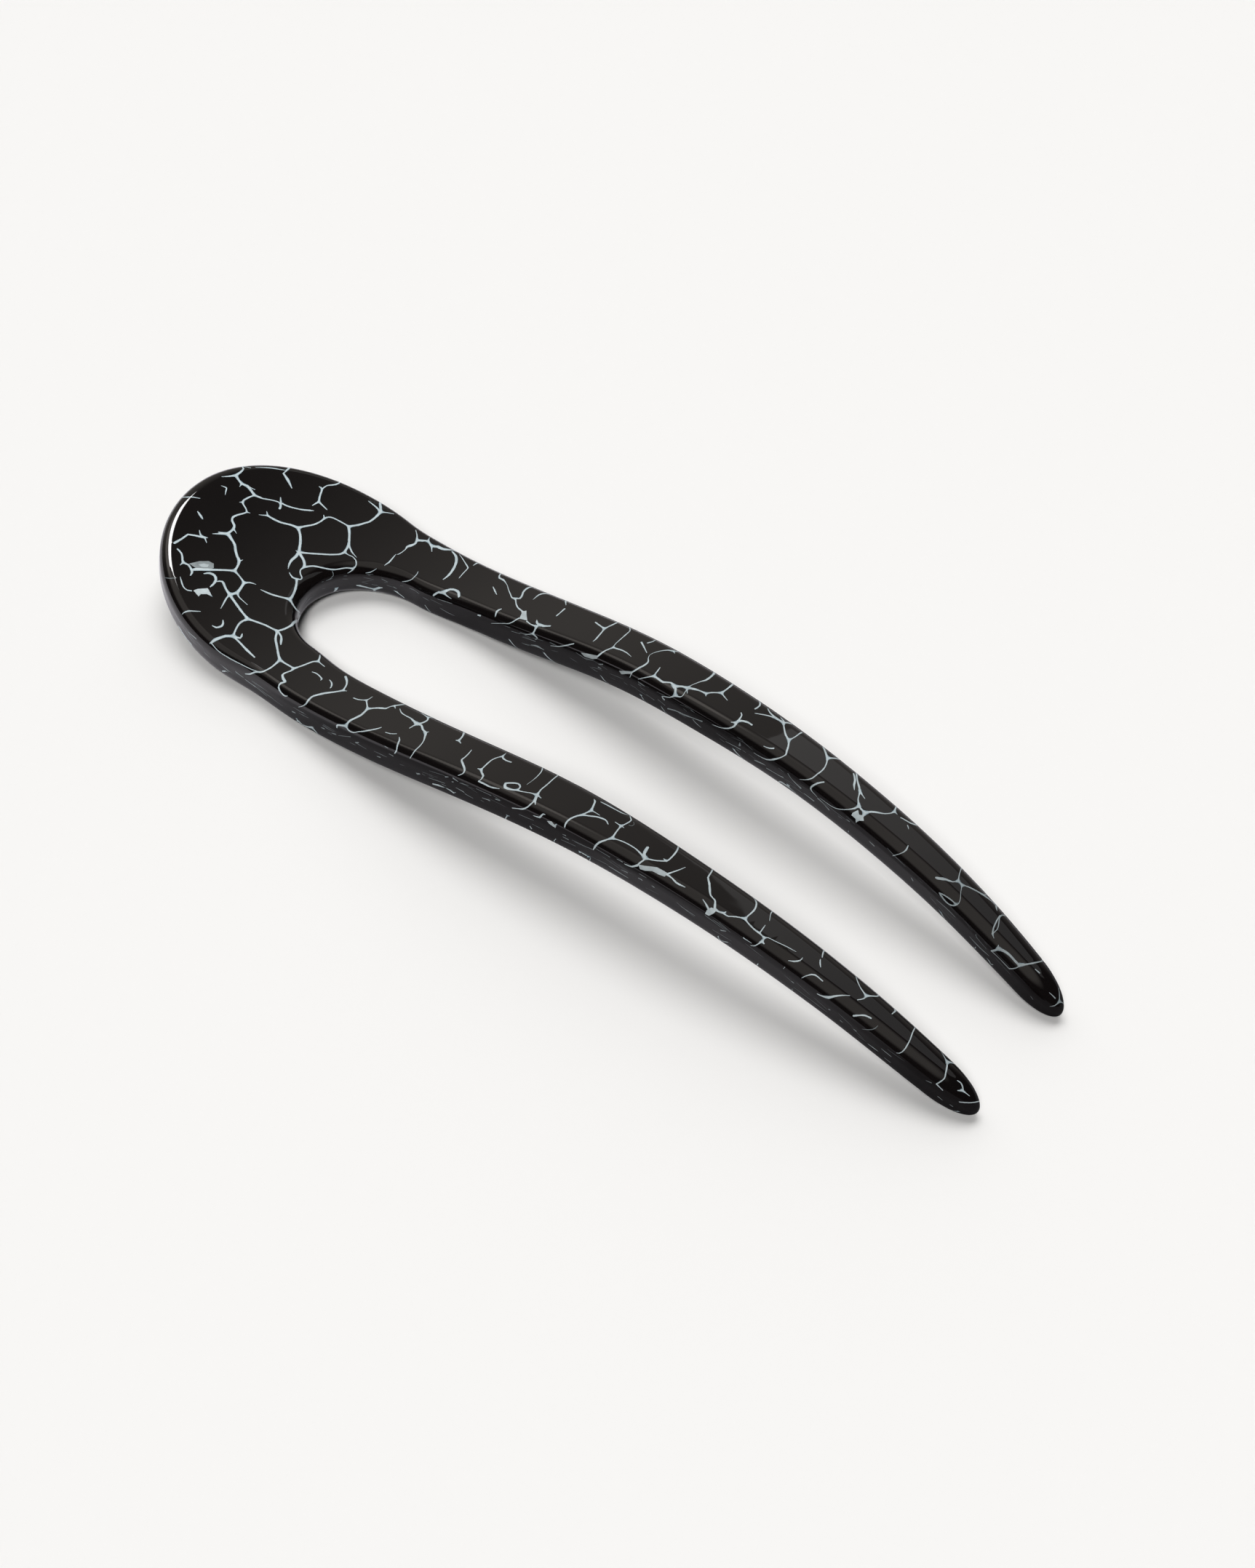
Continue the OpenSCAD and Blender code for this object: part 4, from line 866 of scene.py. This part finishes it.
class Chart:
    """Lines and patches as polygons of the unrolled map, each with a tone.

    spines are the middles of the lines as (u, y, half width) twice, fills are the patches, and
    meetings are the stretches of line that leave each charted point.
    """

    def __init__(self):
        self.polygons = []
        self.tones = []
        self.spines = []
        self.fills = []
        self.meetings = {}

    def add(self, polygon, tone):
        """Adds a polygon, unless it is next to nothing."""
        polygon = ccw(polygon)
        if polygon:
            self.polygons.append(polygon)
            self.tones.append(tone)

    def patch(self, polygon, tone):
        """Adds a filled patch."""
        shape = np.array(polygon)
        self.add(polygon, tone * tone_share(shape))
        self.fills.append(shape.mean(0) + (shape - shape.mean(0)) * PATCH_GROWTH)

    def line(self, points, tone, step=STEP):
        """Adds a line as pairs of quads along its middle, with rounded ends."""
        curve = resample(points, step)
        centre = curve[:, :2]
        width = curve[:, 2] * np.interp(centre[:, 0], WEIGHT_AT, WIDTH_SHARE)
        width *= [rng.uniform(*WAVER) for _ in width]
        tone *= tone_share(centre)
        way = np.gradient(centre, axis=0)
        way /= np.maximum(np.linalg.norm(way, axis=1), 1e-9)[:, None]
        side = np.column_stack([-way[:, 1], way[:, 0]]) * width[:, None] / 2
        left, right = centre + side, centre - side
        for k in range(len(curve) - 1):
            self.add([left[k], centre[k], centre[k + 1], left[k + 1]], tone)
            self.add([centre[k], right[k], right[k + 1], centre[k + 1]], tone)
        for k, sign in ((0, -1), (-1, 1)):
            out = sign * way[k] * width[k]
            shoulder = centre[k] + out * CAP_SHOULDER
            self.add([left[k], shoulder + side[k] * CAP_WIDE, centre[k] + out * CAP_TIP,
                      shoulder - side[k] * CAP_WIDE, right[k]], tone)
        for a, b in zip(curve[:-1], curve[1:]):
            self.spines.append((a[0], a[1], a[2] / 2, b[0], b[1], b[2] / 2))
        stretches = [(0, 1), (-1, -2)]
        stretches += [(k, n) for k in range(1, len(points) - 1) for n in (k - 1, k + 1)]
        for k, n in stretches:
            here, there = points[k], points[n]
            gap = math.hypot(there[0] - here[0], there[1] - here[1])
            angle = math.atan2(there[1] - here[1], there[0] - here[0])
            self.meetings.setdefault((round(here[0], 3), round(here[1], 3)), []).append(
                (angle, (here[2] + there[2]) / 2, gap, tone))

    def webs(self):
        """Fills the corners where three or more stretches meet, with hollow curves."""
        for spot, arms in self.meetings.items():
            if len(arms) < 3:
                continue
            arms = sorted(arms)
            for a, b in zip(arms, arms[1:] + [arms[0]]):
                spread = (b[0] - a[0]) % (2 * math.pi)
                if WEB_ANGLES[0] < spread < WEB_ANGLES[1]:
                    self.web(spot, a, b, spread)

    def web(self, spot, a, b, spread):
        """Fills one corner, between the arms a and b."""
        u, y = spot
        reach = WEB_REACH * (a[1] + b[1]) / 2 + WEB_MORE
        ends = []
        for (angle, width, gap, _), turn in ((a, 1), (b, -1)):
            out = min(reach, gap * WEB_STRETCH)
            ends.append((u + math.cos(angle) * out - turn * math.sin(angle) * width / 2,
                         y + math.sin(angle) * out + turn * math.cos(angle) * width / 2))
        middle = a[0] + spread / 2
        deep = (a[1] + b[1]) / 4 / max(0.3, math.sin(spread / 2))
        knee = (u + math.cos(middle) * deep, y + math.sin(middle) * deep)
        curve = [tuple(ends[0][c] * (1 - s) ** 2 + 2 * knee[c] * s * (1 - s) + ends[1][c] * s * s
                       for c in (0, 1))
                 for s in (0, .25, .5, .75, 1)]
        self.add([spot] + curve, min(a[3], b[3]))


def random_net(chart):
    """Crackle lines grown from a seed: the edges between cells round random points."""
    seeds = []
    for i in range(int((NET_U[1] - NET_U[0]) / NET_SPACING)):
        for j in range(int((NET_Y[1] - NET_Y[0]) / NET_SPACING)):
            seeds.append(Vector((NET_U[0] + (i + rng.uniform(*NET_SHIFT)) * NET_SPACING,
                                 NET_Y[0] + (j + rng.uniform(*NET_SHIFT)) * NET_SPACING)))
    verts, _, faces, *_ = delaunay_2d_cdt(seeds, [], [], 0, NET_WELD)
    centres = [sum((verts[k] for k in f), Vector((0, 0))) / 3 for f in faces]
    shared = {}
    for index, face in enumerate(faces):
        for a, b in zip(face, face[1:] + face[:1]):
            shared.setdefault((min(a, b), max(a, b)), []).append(index)
    for pair in shared.values():
        if len(pair) < 2 or rng.random() > NET_KEPT:
            continue
        a, b = centres[pair[0]], centres[pair[1]]
        way = b - a
        bow = Vector((-way.y, way.x)) * rng.uniform(*NET_BOW)
        wide = rng.uniform(*NET_WIDTH)
        points = [(a.x, a.y, wide * rng.uniform(.5, 1)),
                  (*(a + way * 0.35 + bow * 0.8), wide * 0.8),
                  (*(a + way * 0.7 + bow), wide * rng.uniform(.6, 1)),
                  (b.x, b.y, wide * rng.uniform(.4, 1))]
        if rng.random() < NET_CUT:
            cut = a + way * rng.uniform(0.4, 0.8)
            points = points[:2] + [(cut.x, cut.y, 0.05)]
        chart.line(points, LINE_TONE)


def wall_dashes(chart):
    """Short fine streaks along the walls of both sides, grown from a seed."""
    for side, half in HALVES.items():
        for edge, turn in ((half.out, 1), (half.inn, -1)):
            for _ in range(DASHES):
                start = rng.uniform(1, LAST - NOSE_N - 8)
                reach = rng.uniform(*DASH_REACH)
                depth = rng.uniform(DASH_HIGH, DASH_LOW)
                lean = rng.uniform(*DASH_LEAN) * reach
                wide = rng.uniform(*DASH_WIDTH)
                points = []
                for share, width in ((0, 0.5), (0.5, 1.0), (1, 0.4)):
                    f = np.array([start + reach * share])
                    low = float(np.clip(depth + lean * share, DASH_HIGH, DASH_LOW))
                    past = half.at(half.r, f) * (np.pi / 2 - 1) + low
                    spot = half.at(edge, f) + turn * half.at(half.way, f) * past[:, None]
                    points.append((spot[0, 0], side * spot[0, 1], wide * width))
                chart.line(points, rng.uniform(*DASH_TONE), step=DASH_STEP)


def chart_top():
    """The lines and patches of the top and the walls."""
    chart = Chart()
    for lines, tone in ((HEAD_LINES + FAR_LINES + NEAR_LINES, LINE_TONE),
                        (FAINT_LINES, FAINT_TONE), (WALL_LINES, WALL_TONE)):
        for line in lines:
            chart.line(line, tone)
    chart.webs()
    for tone, polygon in PATCHES:
        chart.patch(polygon, tone)
    wall_dashes(chart)
    return chart


def chart_bottom():
    """The lines of the underside."""
    chart = Chart()
    random_net(chart)
    chart.webs()
    return chart


# The visual mesh

def inside(points, polygon):
    """Which points are inside a polygon."""
    x, y = points.T
    hit = np.zeros(len(points), bool)
    for (ax, ay), (bx, by) in zip(polygon, np.roll(polygon, -1, axis=0)):
        crosses = (ay > y) != (by > y)
        with np.errstate(divide="ignore", invalid="ignore"):
            hit ^= crosses & (x < (bx - ax) * (y - ay) / (by - ay) + ax)
    return hit


def triangulate(chart, wall):
    """Points and triangles of the map cut along the chart, with a tone for each triangle."""
    border = outline(wall)
    verts = [Vector(p) for p in ccw(border)]
    faces = [list(range(len(verts)))]
    within = inside(np.array([p for polygon in chart.polygons for p in polygon]), border)
    first = 0
    for polygon in chart.polygons:
        whole = within[first:first + len(polygon)].all()
        first += len(polygon)
        if whole:
            faces.append(list(range(len(verts), len(verts) + len(polygon))))
            verts += [Vector(p) for p in polygon]
    verts += [Vector(p) for p in filling(wall)]
    points, _, triangles, *_ = delaunay_2d_cdt(verts, [], faces, 0, MAP_WELD)
    points = np.array([tuple(p) for p in points])
    triangles = np.array(triangles)
    middles = points[triangles].mean(1)
    kept = inside(middles, border)
    triangles, middles = triangles[kept], middles[kept]
    order = np.argsort(middles[:, 0])
    triangles, middles = triangles[order], middles[order]
    tones = np.zeros(len(triangles))
    for polygon, tone in zip(chart.polygons, chart.tones):
        shape = np.array(polygon)
        first, last = np.searchsorted(middles[:, 0], (shape[:, 0].min(), shape[:, 0].max()))
        hit = inside(middles[first:last], shape)
        tones[first:last][hit] = np.maximum(tones[first:last][hit], tone)
    return points, triangles, tones


def depth_in_lines(points, chart):
    """How far inside a line each point is: 1 on the line's middle and 0 at its border."""
    spines = np.array(chart.spines)
    core = np.zeros(len(points))
    a, b = spines[:, 0:2], spines[:, 3:5]
    way = b - a
    length2 = np.maximum((way ** 2).sum(1), 1e-9)
    for start in range(0, len(points), BATCH):
        part = points[start:start + BATCH]
        gap = part[:, None] - a[None]
        s = np.clip((gap * way[None]).sum(2) / length2, 0, 1)
        off = np.linalg.norm(gap - way[None] * s[..., None], axis=2)
        half = spines[None, :, 2] * (1 - s) + spines[None, :, 5] * s
        core[start:start + BATCH] = np.max(1 - off / half, axis=1)
    return np.clip(core, 0, 1)


def core_of(points, triangles, tones, chart):
    """How far inside a line or patch each point is."""
    marked = np.unique(triangles[tones > 0])
    core = np.zeros(len(points))
    core[marked] = depth_in_lines(points[marked], chart)
    for shape in chart.fills:
        core[inside(points, shape)] = PATCH_CORE
    return core


def raise_points(points, below):
    """3-D places, in millimetres before tipping, and normals of points of the map."""
    places, normals = np.empty((len(points), 3)), np.empty((len(points), 3))
    for side, half in HALVES.items():
        mine = points[:, 1] >= 0 if side > 0 else points[:, 1] < 0
        spots, ways = half.surface(np.column_stack([points[mine, 0], np.abs(points[mine, 1])]))
        if below:
            spots[:, 2] *= -1
            ways[:, 2] *= -1
        places[mine], normals[mine] = bent(spots, ways, side)
    return places, normals


def tip_over(places, normals):
    """Tips the bent pin until head and tips are equally low, and puts it on the origin."""
    head, tips = places[:, 0] < BLANK_L / 2, places[:, 0] >= BLANK_L / 2
    a = places[head][places[head][:, 2].argmin()]
    b = places[tips][places[tips][:, 2].argmin()]
    pitch = math.atan2(b[2] - a[2], b[0] - a[0])
    c, s = math.cos(pitch), math.sin(pitch)
    turn = np.array([[c, 0, s], [0, 1, 0], [-s, 0, c]])
    places, normals = places @ turn.T, normals @ turn.T
    low, high = places.min(0), places.max(0)
    return places - [(low[0] + high[0]) / 2, (low[1] + high[1]) / 2, low[2]], normals


# Texture places, in millimetres of a square sheet. The head of the top and that of the bottom
# lie side by side with the half prongs, each of which has a row, cut from u to the next cut.
UV_SIDE = 92.0
HEAD_CUT, PRONG_CUT = 29.0, 74.5
# The map's shift to the head's corner, the corner's place on the sheet, and the next head's
UV_HEAD, UV_HEAD_AT, UV_HEAD_PITCH = (3, 17.5), (48, 1), 34
# Lap at a cut, pitch of the rows, gap before the first, and the least y of the two half prongs
UV_LAP, UV_ROW_PITCH, UV_GAP = 0.8, 11.3, 0.3
FIRST_LOW, SECOND_LOW = 5.4, 3.6


def uv_places(points, triangles, below):
    """Texture places: the head and four half prongs of the top, or the same of the bottom."""
    corners = points[triangles]
    middles = corners.mean(1)
    made = np.empty_like(corners)
    in_head = middles[:, 0] < HEAD_CUT
    made[in_head] = (corners[in_head] + UV_HEAD)[..., ::-1] + UV_HEAD_AT
    made[in_head, :, 1] += UV_HEAD_PITCH * below
    row = 4 * below
    for side in (1, -1):
        for first, cut, low in ((True, HEAD_CUT, FIRST_LOW), (False, PRONG_CUT, SECOND_LOW)):
            mine = ~in_head & ((middles[:, 1] > 0) == (side > 0))
            mine &= (middles[:, 0] < PRONG_CUT) == first
            made[mine] = (corners[mine] * (1, side) - (cut - UV_LAP, low)
                          + (UV_GAP, UV_GAP + UV_ROW_PITCH * row))
            row += 1
    return made / UV_SIDE


def sheet(chart, below):
    """The top with its walls, or the bottom, with all that the mesh keeps of it."""
    points, triangles, tones = triangulate(chart, wall=not below)
    places, normals = raise_points(points, below)
    core = core_of(points, triangles, tones, chart)
    return places, normals, core, triangles, tones, uv_places(points, triangles, below)


def build_pin():
    """The pin's mesh, with the crackle's tones on its faces and its depths on its points."""
    top_chart, bottom_chart = chart_top(), chart_bottom()
    p0, n0, c0, f0, t0, uv0 = sheet(top_chart, below=False)
    p1, n1, c1, f1, t1, uv1 = sheet(bottom_chart, below=True)

    # The bottom's border takes the points of the top's, and its triangles face down
    tree = KDTree(len(p0))
    for i, p in enumerate(p0):
        tree.insert(p, i)
    tree.balance()
    found = [tree.find(p) for p in p1]
    new = np.array([gap >= SEAM_WELD for _, _, gap in found])
    shared = np.array([i for _, i, _ in found])
    shared[new] = len(p0) + np.arange(new.sum())
    places, normals = tip_over(np.vstack([p0, p1[new]]), np.vstack([n0, n1[new]]))
    core = np.concatenate([c0, c1[new]])
    faces = np.vstack([f0, shared[f1[:, ::-1]]])
    tones = np.concatenate([t0, t1])
    uvs = np.vstack([uv0, uv1[:, ::-1]])
    a, b, c = faces.T
    good = (a != b) & (b != c) & (c != a)

    mesh = bpy.data.meshes.new("pin_acetate")
    mesh.from_pydata((places * MM).tolist(), [], faces[good].tolist())
    mesh.attributes.new("vein", "FLOAT", "FACE").data.foreach_set("value", tones[good])
    mesh.attributes.new("core", "FLOAT", "POINT").data.foreach_set("value", core)
    mesh.uv_layers.new(name="OFBake").data.foreach_set("uv", uvs[good].reshape(-1))
    mesh.shade_smooth()
    mesh.normals_split_custom_set_from_vertices(unit(normals).tolist())
    pin = bpy.data.objects.new("pin_acetate", mesh)
    bpy.context.scene.collection.objects.link(pin)
    return pin


# Materials

def node(tree, kind, **values):
    """A shader node, with values for its inputs or its properties, by name."""
    made = tree.nodes.new(kind)
    for name, value in values.items():
        if name in made.inputs:
            made.inputs[name].default_value = value
        else:
            setattr(made, name, value)
    return made


def noise(tree, **values):
    """Noise that is fixed to the object."""
    made = node(tree, "ShaderNodeTexNoise", **values)
    place = node(tree, "ShaderNodeTexCoord")
    tree.links.new(place.outputs["Object"], made.inputs["Vector"])
    return made.outputs["Fac"]


def ramp(tree, value, start, end, low=0.0, high=1.0, **values):
    """Goes from low to high while a value goes from start to end."""
    made = node(tree, "ShaderNodeMapRange", **values,
                **{"From Min": start, "From Max": end, "To Min": low, "To Max": high})
    tree.links.new(value, made.inputs["Value"])
    return made.outputs["Result"]


# A colour Mix node's sockets, by number, as its names repeat
MIX_A, MIX_B, MIX_OUT = 6, 7, 2


def mix(tree, factor, a, b):
    """A mixture of a and b, each of which is a colour or another node's output."""
    made = node(tree, "ShaderNodeMix", data_type="RGBA")
    tree.links.new(factor, made.inputs["Factor"])
    for socket, colour in ((MIX_A, a), (MIX_B, b)):
        if isinstance(colour, tuple):
            made.inputs[socket].default_value = colour
        else:
            tree.links.new(colour, made.inputs[socket])
    return made.outputs[MIX_OUT]


def new_material(name, **values):
    """A material, its node tree and its shader's inputs, some of them with values."""
    material = bpy.data.materials.new(name)
    material.use_nodes = True
    inputs = material.node_tree.nodes["Principled BSDF"].inputs
    for socket, value in values.items():
        inputs[socket].default_value = value
    return material, material.node_tree, inputs


BODY_DARK, BODY_LIGHT = (0.0024, 0.0019, 0.0021, 1), (0.0052, 0.0038, 0.0038, 1)
LINE_BORDER, LINE_MIDDLE = (0.34, 0.46, 0.52, 1), (0.62, 0.70, 0.72, 1)


def acetate():
    """Polished black acetate, with pale crackle just under its surface."""
    material, tree, inputs = new_material("acetate", Roughness=0.03, IOR=1.49)
    link = tree.links.new
    vein = node(tree, "ShaderNodeAttribute", attribute_name="vein").outputs["Fac"]
    core = node(tree, "ShaderNodeAttribute", attribute_name="core").outputs["Fac"]
    body = mix(tree, noise(tree, Scale=90.0, Detail=3.0), BODY_DARK, BODY_LIGHT)
    pale = mix(tree, ramp(tree, core, 0.0, PATCH_CORE), LINE_BORDER, LINE_MIDDLE)
    grain = noise(tree, Scale=1400.0, Detail=4.0, Roughness=0.6)
    strength = node(tree, "ShaderNodeMath", operation="MULTIPLY", use_clamp=True)
    link(vein, strength.inputs[0])
    link(ramp(tree, grain, 0.3, 0.7, 0.82, 1.08), strength.inputs[1])
    link(mix(tree, strength.outputs["Value"], body, pale), inputs["Base Color"])
    bump = node(tree, "ShaderNodeBump", Strength=0.05, Distance=0.0002)
    link(noise(tree, Scale=220.0, Detail=2.0), bump.inputs["Height"])
    link(bump.outputs["Normal"], inputs["Normal"])
    return material


# Painted shade on the floor that only the gloss shows, by its X in metres: pale beside the head,
# deep painted shade along the first half of the prongs, and darker again at the tips
PAPER = (0.87, 0.86, 0.845, 1)
SHADE_FROM, SHADE_TO = -0.045, 0.060
SHADE = [(-0.039, 0.87), (-0.034, 0.42), (-0.027, 0.22), (0.006, 0.20), (0.014, 0.44),
         (0.037, 0.42), (0.045, 0.27), (0.053, 0.14)]
SHADE_TINT = Vector((1.0, 0.97, 1.03))


def paper():
    """The pale matt surface that the pin lies on. The gloss sees painted shade on it."""
    material, tree, inputs = new_material("paper", Roughness=0.9)
    inputs["Specular IOR Level"].default_value = 0.1
    link = tree.links.new
    place = node(tree, "ShaderNodeSeparateXYZ")
    link(node(tree, "ShaderNodeTexCoord").outputs["Object"], place.inputs["Vector"])
    shade = node(tree, "ShaderNodeValToRGB")
    stops = shade.color_ramp.elements
    # The ramp's own two stops go, one of them last, because a ramp is never without a stop
    stops.remove(stops[1])
    for x, tone in SHADE:
        stop = stops.new((x - SHADE_FROM) / (SHADE_TO - SHADE_FROM))
        stop.color = (*(SHADE_TINT * tone), 1)
    stops.remove(stops[0])
    link(ramp(tree, place.outputs["X"], SHADE_FROM, SHADE_TO), shade.inputs["Fac"])
    # Glossy rays see the floor with the painted shade, and all other rays see it plain
    glossy = node(tree, "ShaderNodeLightPath").outputs["Is Glossy Ray"]
    link(mix(tree, glossy, PAPER, shade.outputs["Color"]), inputs["Base Color"])
    return material


# The scene

pin = build_pin()
pin.data.materials.append(acetate())
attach(pin, "root")
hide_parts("pin")

# Half the floor's side, in metres. It reaches beyond what a low camera sees.
FLOOR = 6.0
floor_mesh = bpy.data.meshes.new("floor")
floor_mesh.from_pydata([(-FLOOR, -FLOOR, 0), (FLOOR, -FLOOR, 0), (FLOOR, FLOOR, 0),
                        (-FLOOR, FLOOR, 0)], [], [(0, 1, 2, 3)])
floor = bpy.data.objects.new("floor", floor_mesh)
floor_mesh.materials.append(paper())
bpy.context.scene.collection.objects.link(floor)


# Light

def towards(azimuth, elevation):
    """A direction, from its azimuth, 0 along +Y and 90 along +X, and its elevation."""
    azimuth, elevation = math.radians(azimuth), math.radians(elevation)
    return Vector((math.sin(azimuth) * math.cos(elevation),
                   math.cos(azimuth) * math.cos(elevation), math.sin(elevation)))


def hold(name, lamp, place, facing, roll=0.0):
    """Puts a lamp in its place, with its back to a direction and rolled about it."""
    holder = bpy.data.objects.new(name, lamp)
    holder.location = place
    holder.rotation_mode = "QUATERNION"
    holder.rotation_quaternion = (facing.to_track_quat("Z", "Y")
                                  @ Quaternion((0, 0, 1), math.radians(roll)))
    bpy.context.scene.collection.objects.link(holder)
    return holder


def soft_sun(name, way, spread, strength):
    """A far soft light for the floor and the lines. The gloss doesn't show it."""
    lamp = bpy.data.lights.new(name, "SUN")
    lamp.energy = strength
    lamp.angle = math.radians(spread)
    hold(name, lamp, (0, 0, 0), way).visible_glossy = False


def soft_box(name, place, facing, roll, size, brightness, spread=180):
    """A rectangular panel for the gloss alone."""
    lamp = bpy.data.lights.new(name, "AREA")
    lamp.shape = "RECTANGLE"
    lamp.size, lamp.size_y = size
    lamp.energy = math.pi * lamp.size * lamp.size_y * brightness
    lamp.spread = math.radians(spread)
    holder = hold(name, lamp, place, facing, roll)
    holder.visible_diffuse = False
    holder.visible_camera = False


soft_sun("key", towards(140, 45), 16, 1.81)
soft_sun("top", towards(320, 72), 40, 1.22)
soft_sun("fill", towards(310, 45), 80, 1.36)

# A small panel close to the head makes the bright line on its rim, and a large level one makes
# the tops of the prongs' front halves lighter
HEAD_RIM, RIM_GAP = Vector((-0.055, -0.007, 0.008)), 0.025
RIM_WAY = towards(-68.1, 59.1)
soft_box("rim_box", HEAD_RIM + RIM_GAP * RIM_WAY, RIM_WAY, -21.9, (0.0126, 0.0139), 1.2, spread=29)
soft_box("tip_box", (-0.021, 0.235, 0.35), Vector((0, 0, 1)), -16, (0.47, 0.11), 0.45)


def studio():
    """What the gloss shows of the room: a dim warm wall, a pale ceiling and a window."""
    world = bpy.data.worlds.new("studio")
    world.use_nodes = True
    tree = world.node_tree
    link = tree.links.new
    way = node(tree, "ShaderNodeTexCoord").outputs["Generated"]

    def patch(middle, outer, inner, low, high):
        """Brightness that goes from low to high over the angles from outer to inner."""
        dot = node(tree, "ShaderNodeVectorMath", operation="DOT_PRODUCT")
        link(way, dot.inputs[0])
        dot.inputs[1].default_value = middle
        return ramp(tree, dot.outputs["Value"], math.cos(math.radians(outer)),
                    math.cos(math.radians(inner)), low, high, interpolation_type="SMOOTHSTEP")

    def add(first, second):
        """The sum of two outputs."""
        total = node(tree, "ShaderNodeMath", operation="ADD")
        link(first, total.inputs[0])
        link(second, total.inputs[1])
        return total.outputs["Value"]

    wall = patch(towards(-52, 12), 66, 22, 0.03, 0.37)
    ceiling = patch(towards(-150, 65), 46, 26, 0.0, 0.62)
    window = patch(towards(-95, 42), 15, 8, 0.0, 0.9)
    sky = tree.nodes["Background"]
    link(add(add(wall, ceiling), window), sky.inputs["Strength"])
    sky.inputs["Color"].default_value = (1.0, 0.94, 0.87, 1)
    world.cycles_visibility.diffuse = False
    return world


bpy.context.scene.world = studio()
bpy.context.scene.view_settings.view_transform = "Standard"

# Camera: azimuth and elevation of the way back to it, its roll, its target on the floor, and its
# distance in metres, as fitted to the photo. The focal length is in pixels of the photo.
AZIMUTH, ELEVATION, ROLL = math.radians(48.769), math.radians(41.328), math.radians(-3.977)
TARGET = Vector((0.0039291, 0.0029737, 0))
DISTANCE, FOCAL_PIXELS, PHOTO_H = 0.3359, 4602.3, 2156
SENSOR = 36.0
back = Vector((math.sin(AZIMUTH) * math.cos(ELEVATION),
               -math.cos(AZIMUTH) * math.cos(ELEVATION), math.sin(ELEVATION)))
right = Vector((math.cos(AZIMUTH), math.sin(AZIMUTH), 0))
up = back.cross(right)
rolled_right = right * math.cos(ROLL) + up * math.sin(ROLL)
rolled_up = up * math.cos(ROLL) - right * math.sin(ROLL)
camera_data = bpy.data.cameras.new("camera")
camera = bpy.data.objects.new("camera", camera_data)
camera.matrix_world = Matrix.Translation(TARGET + back * DISTANCE) @ Matrix(
    (rolled_right, rolled_up, back)).transposed().to_4x4()
camera_data.sensor_width = SENSOR
camera_data.lens = FOCAL_PIXELS / PHOTO_H * SENSOR
camera_data.clip_start, camera_data.clip_end = 0.01, 20
bpy.context.scene.collection.objects.link(camera)
bpy.context.scene.camera = camera
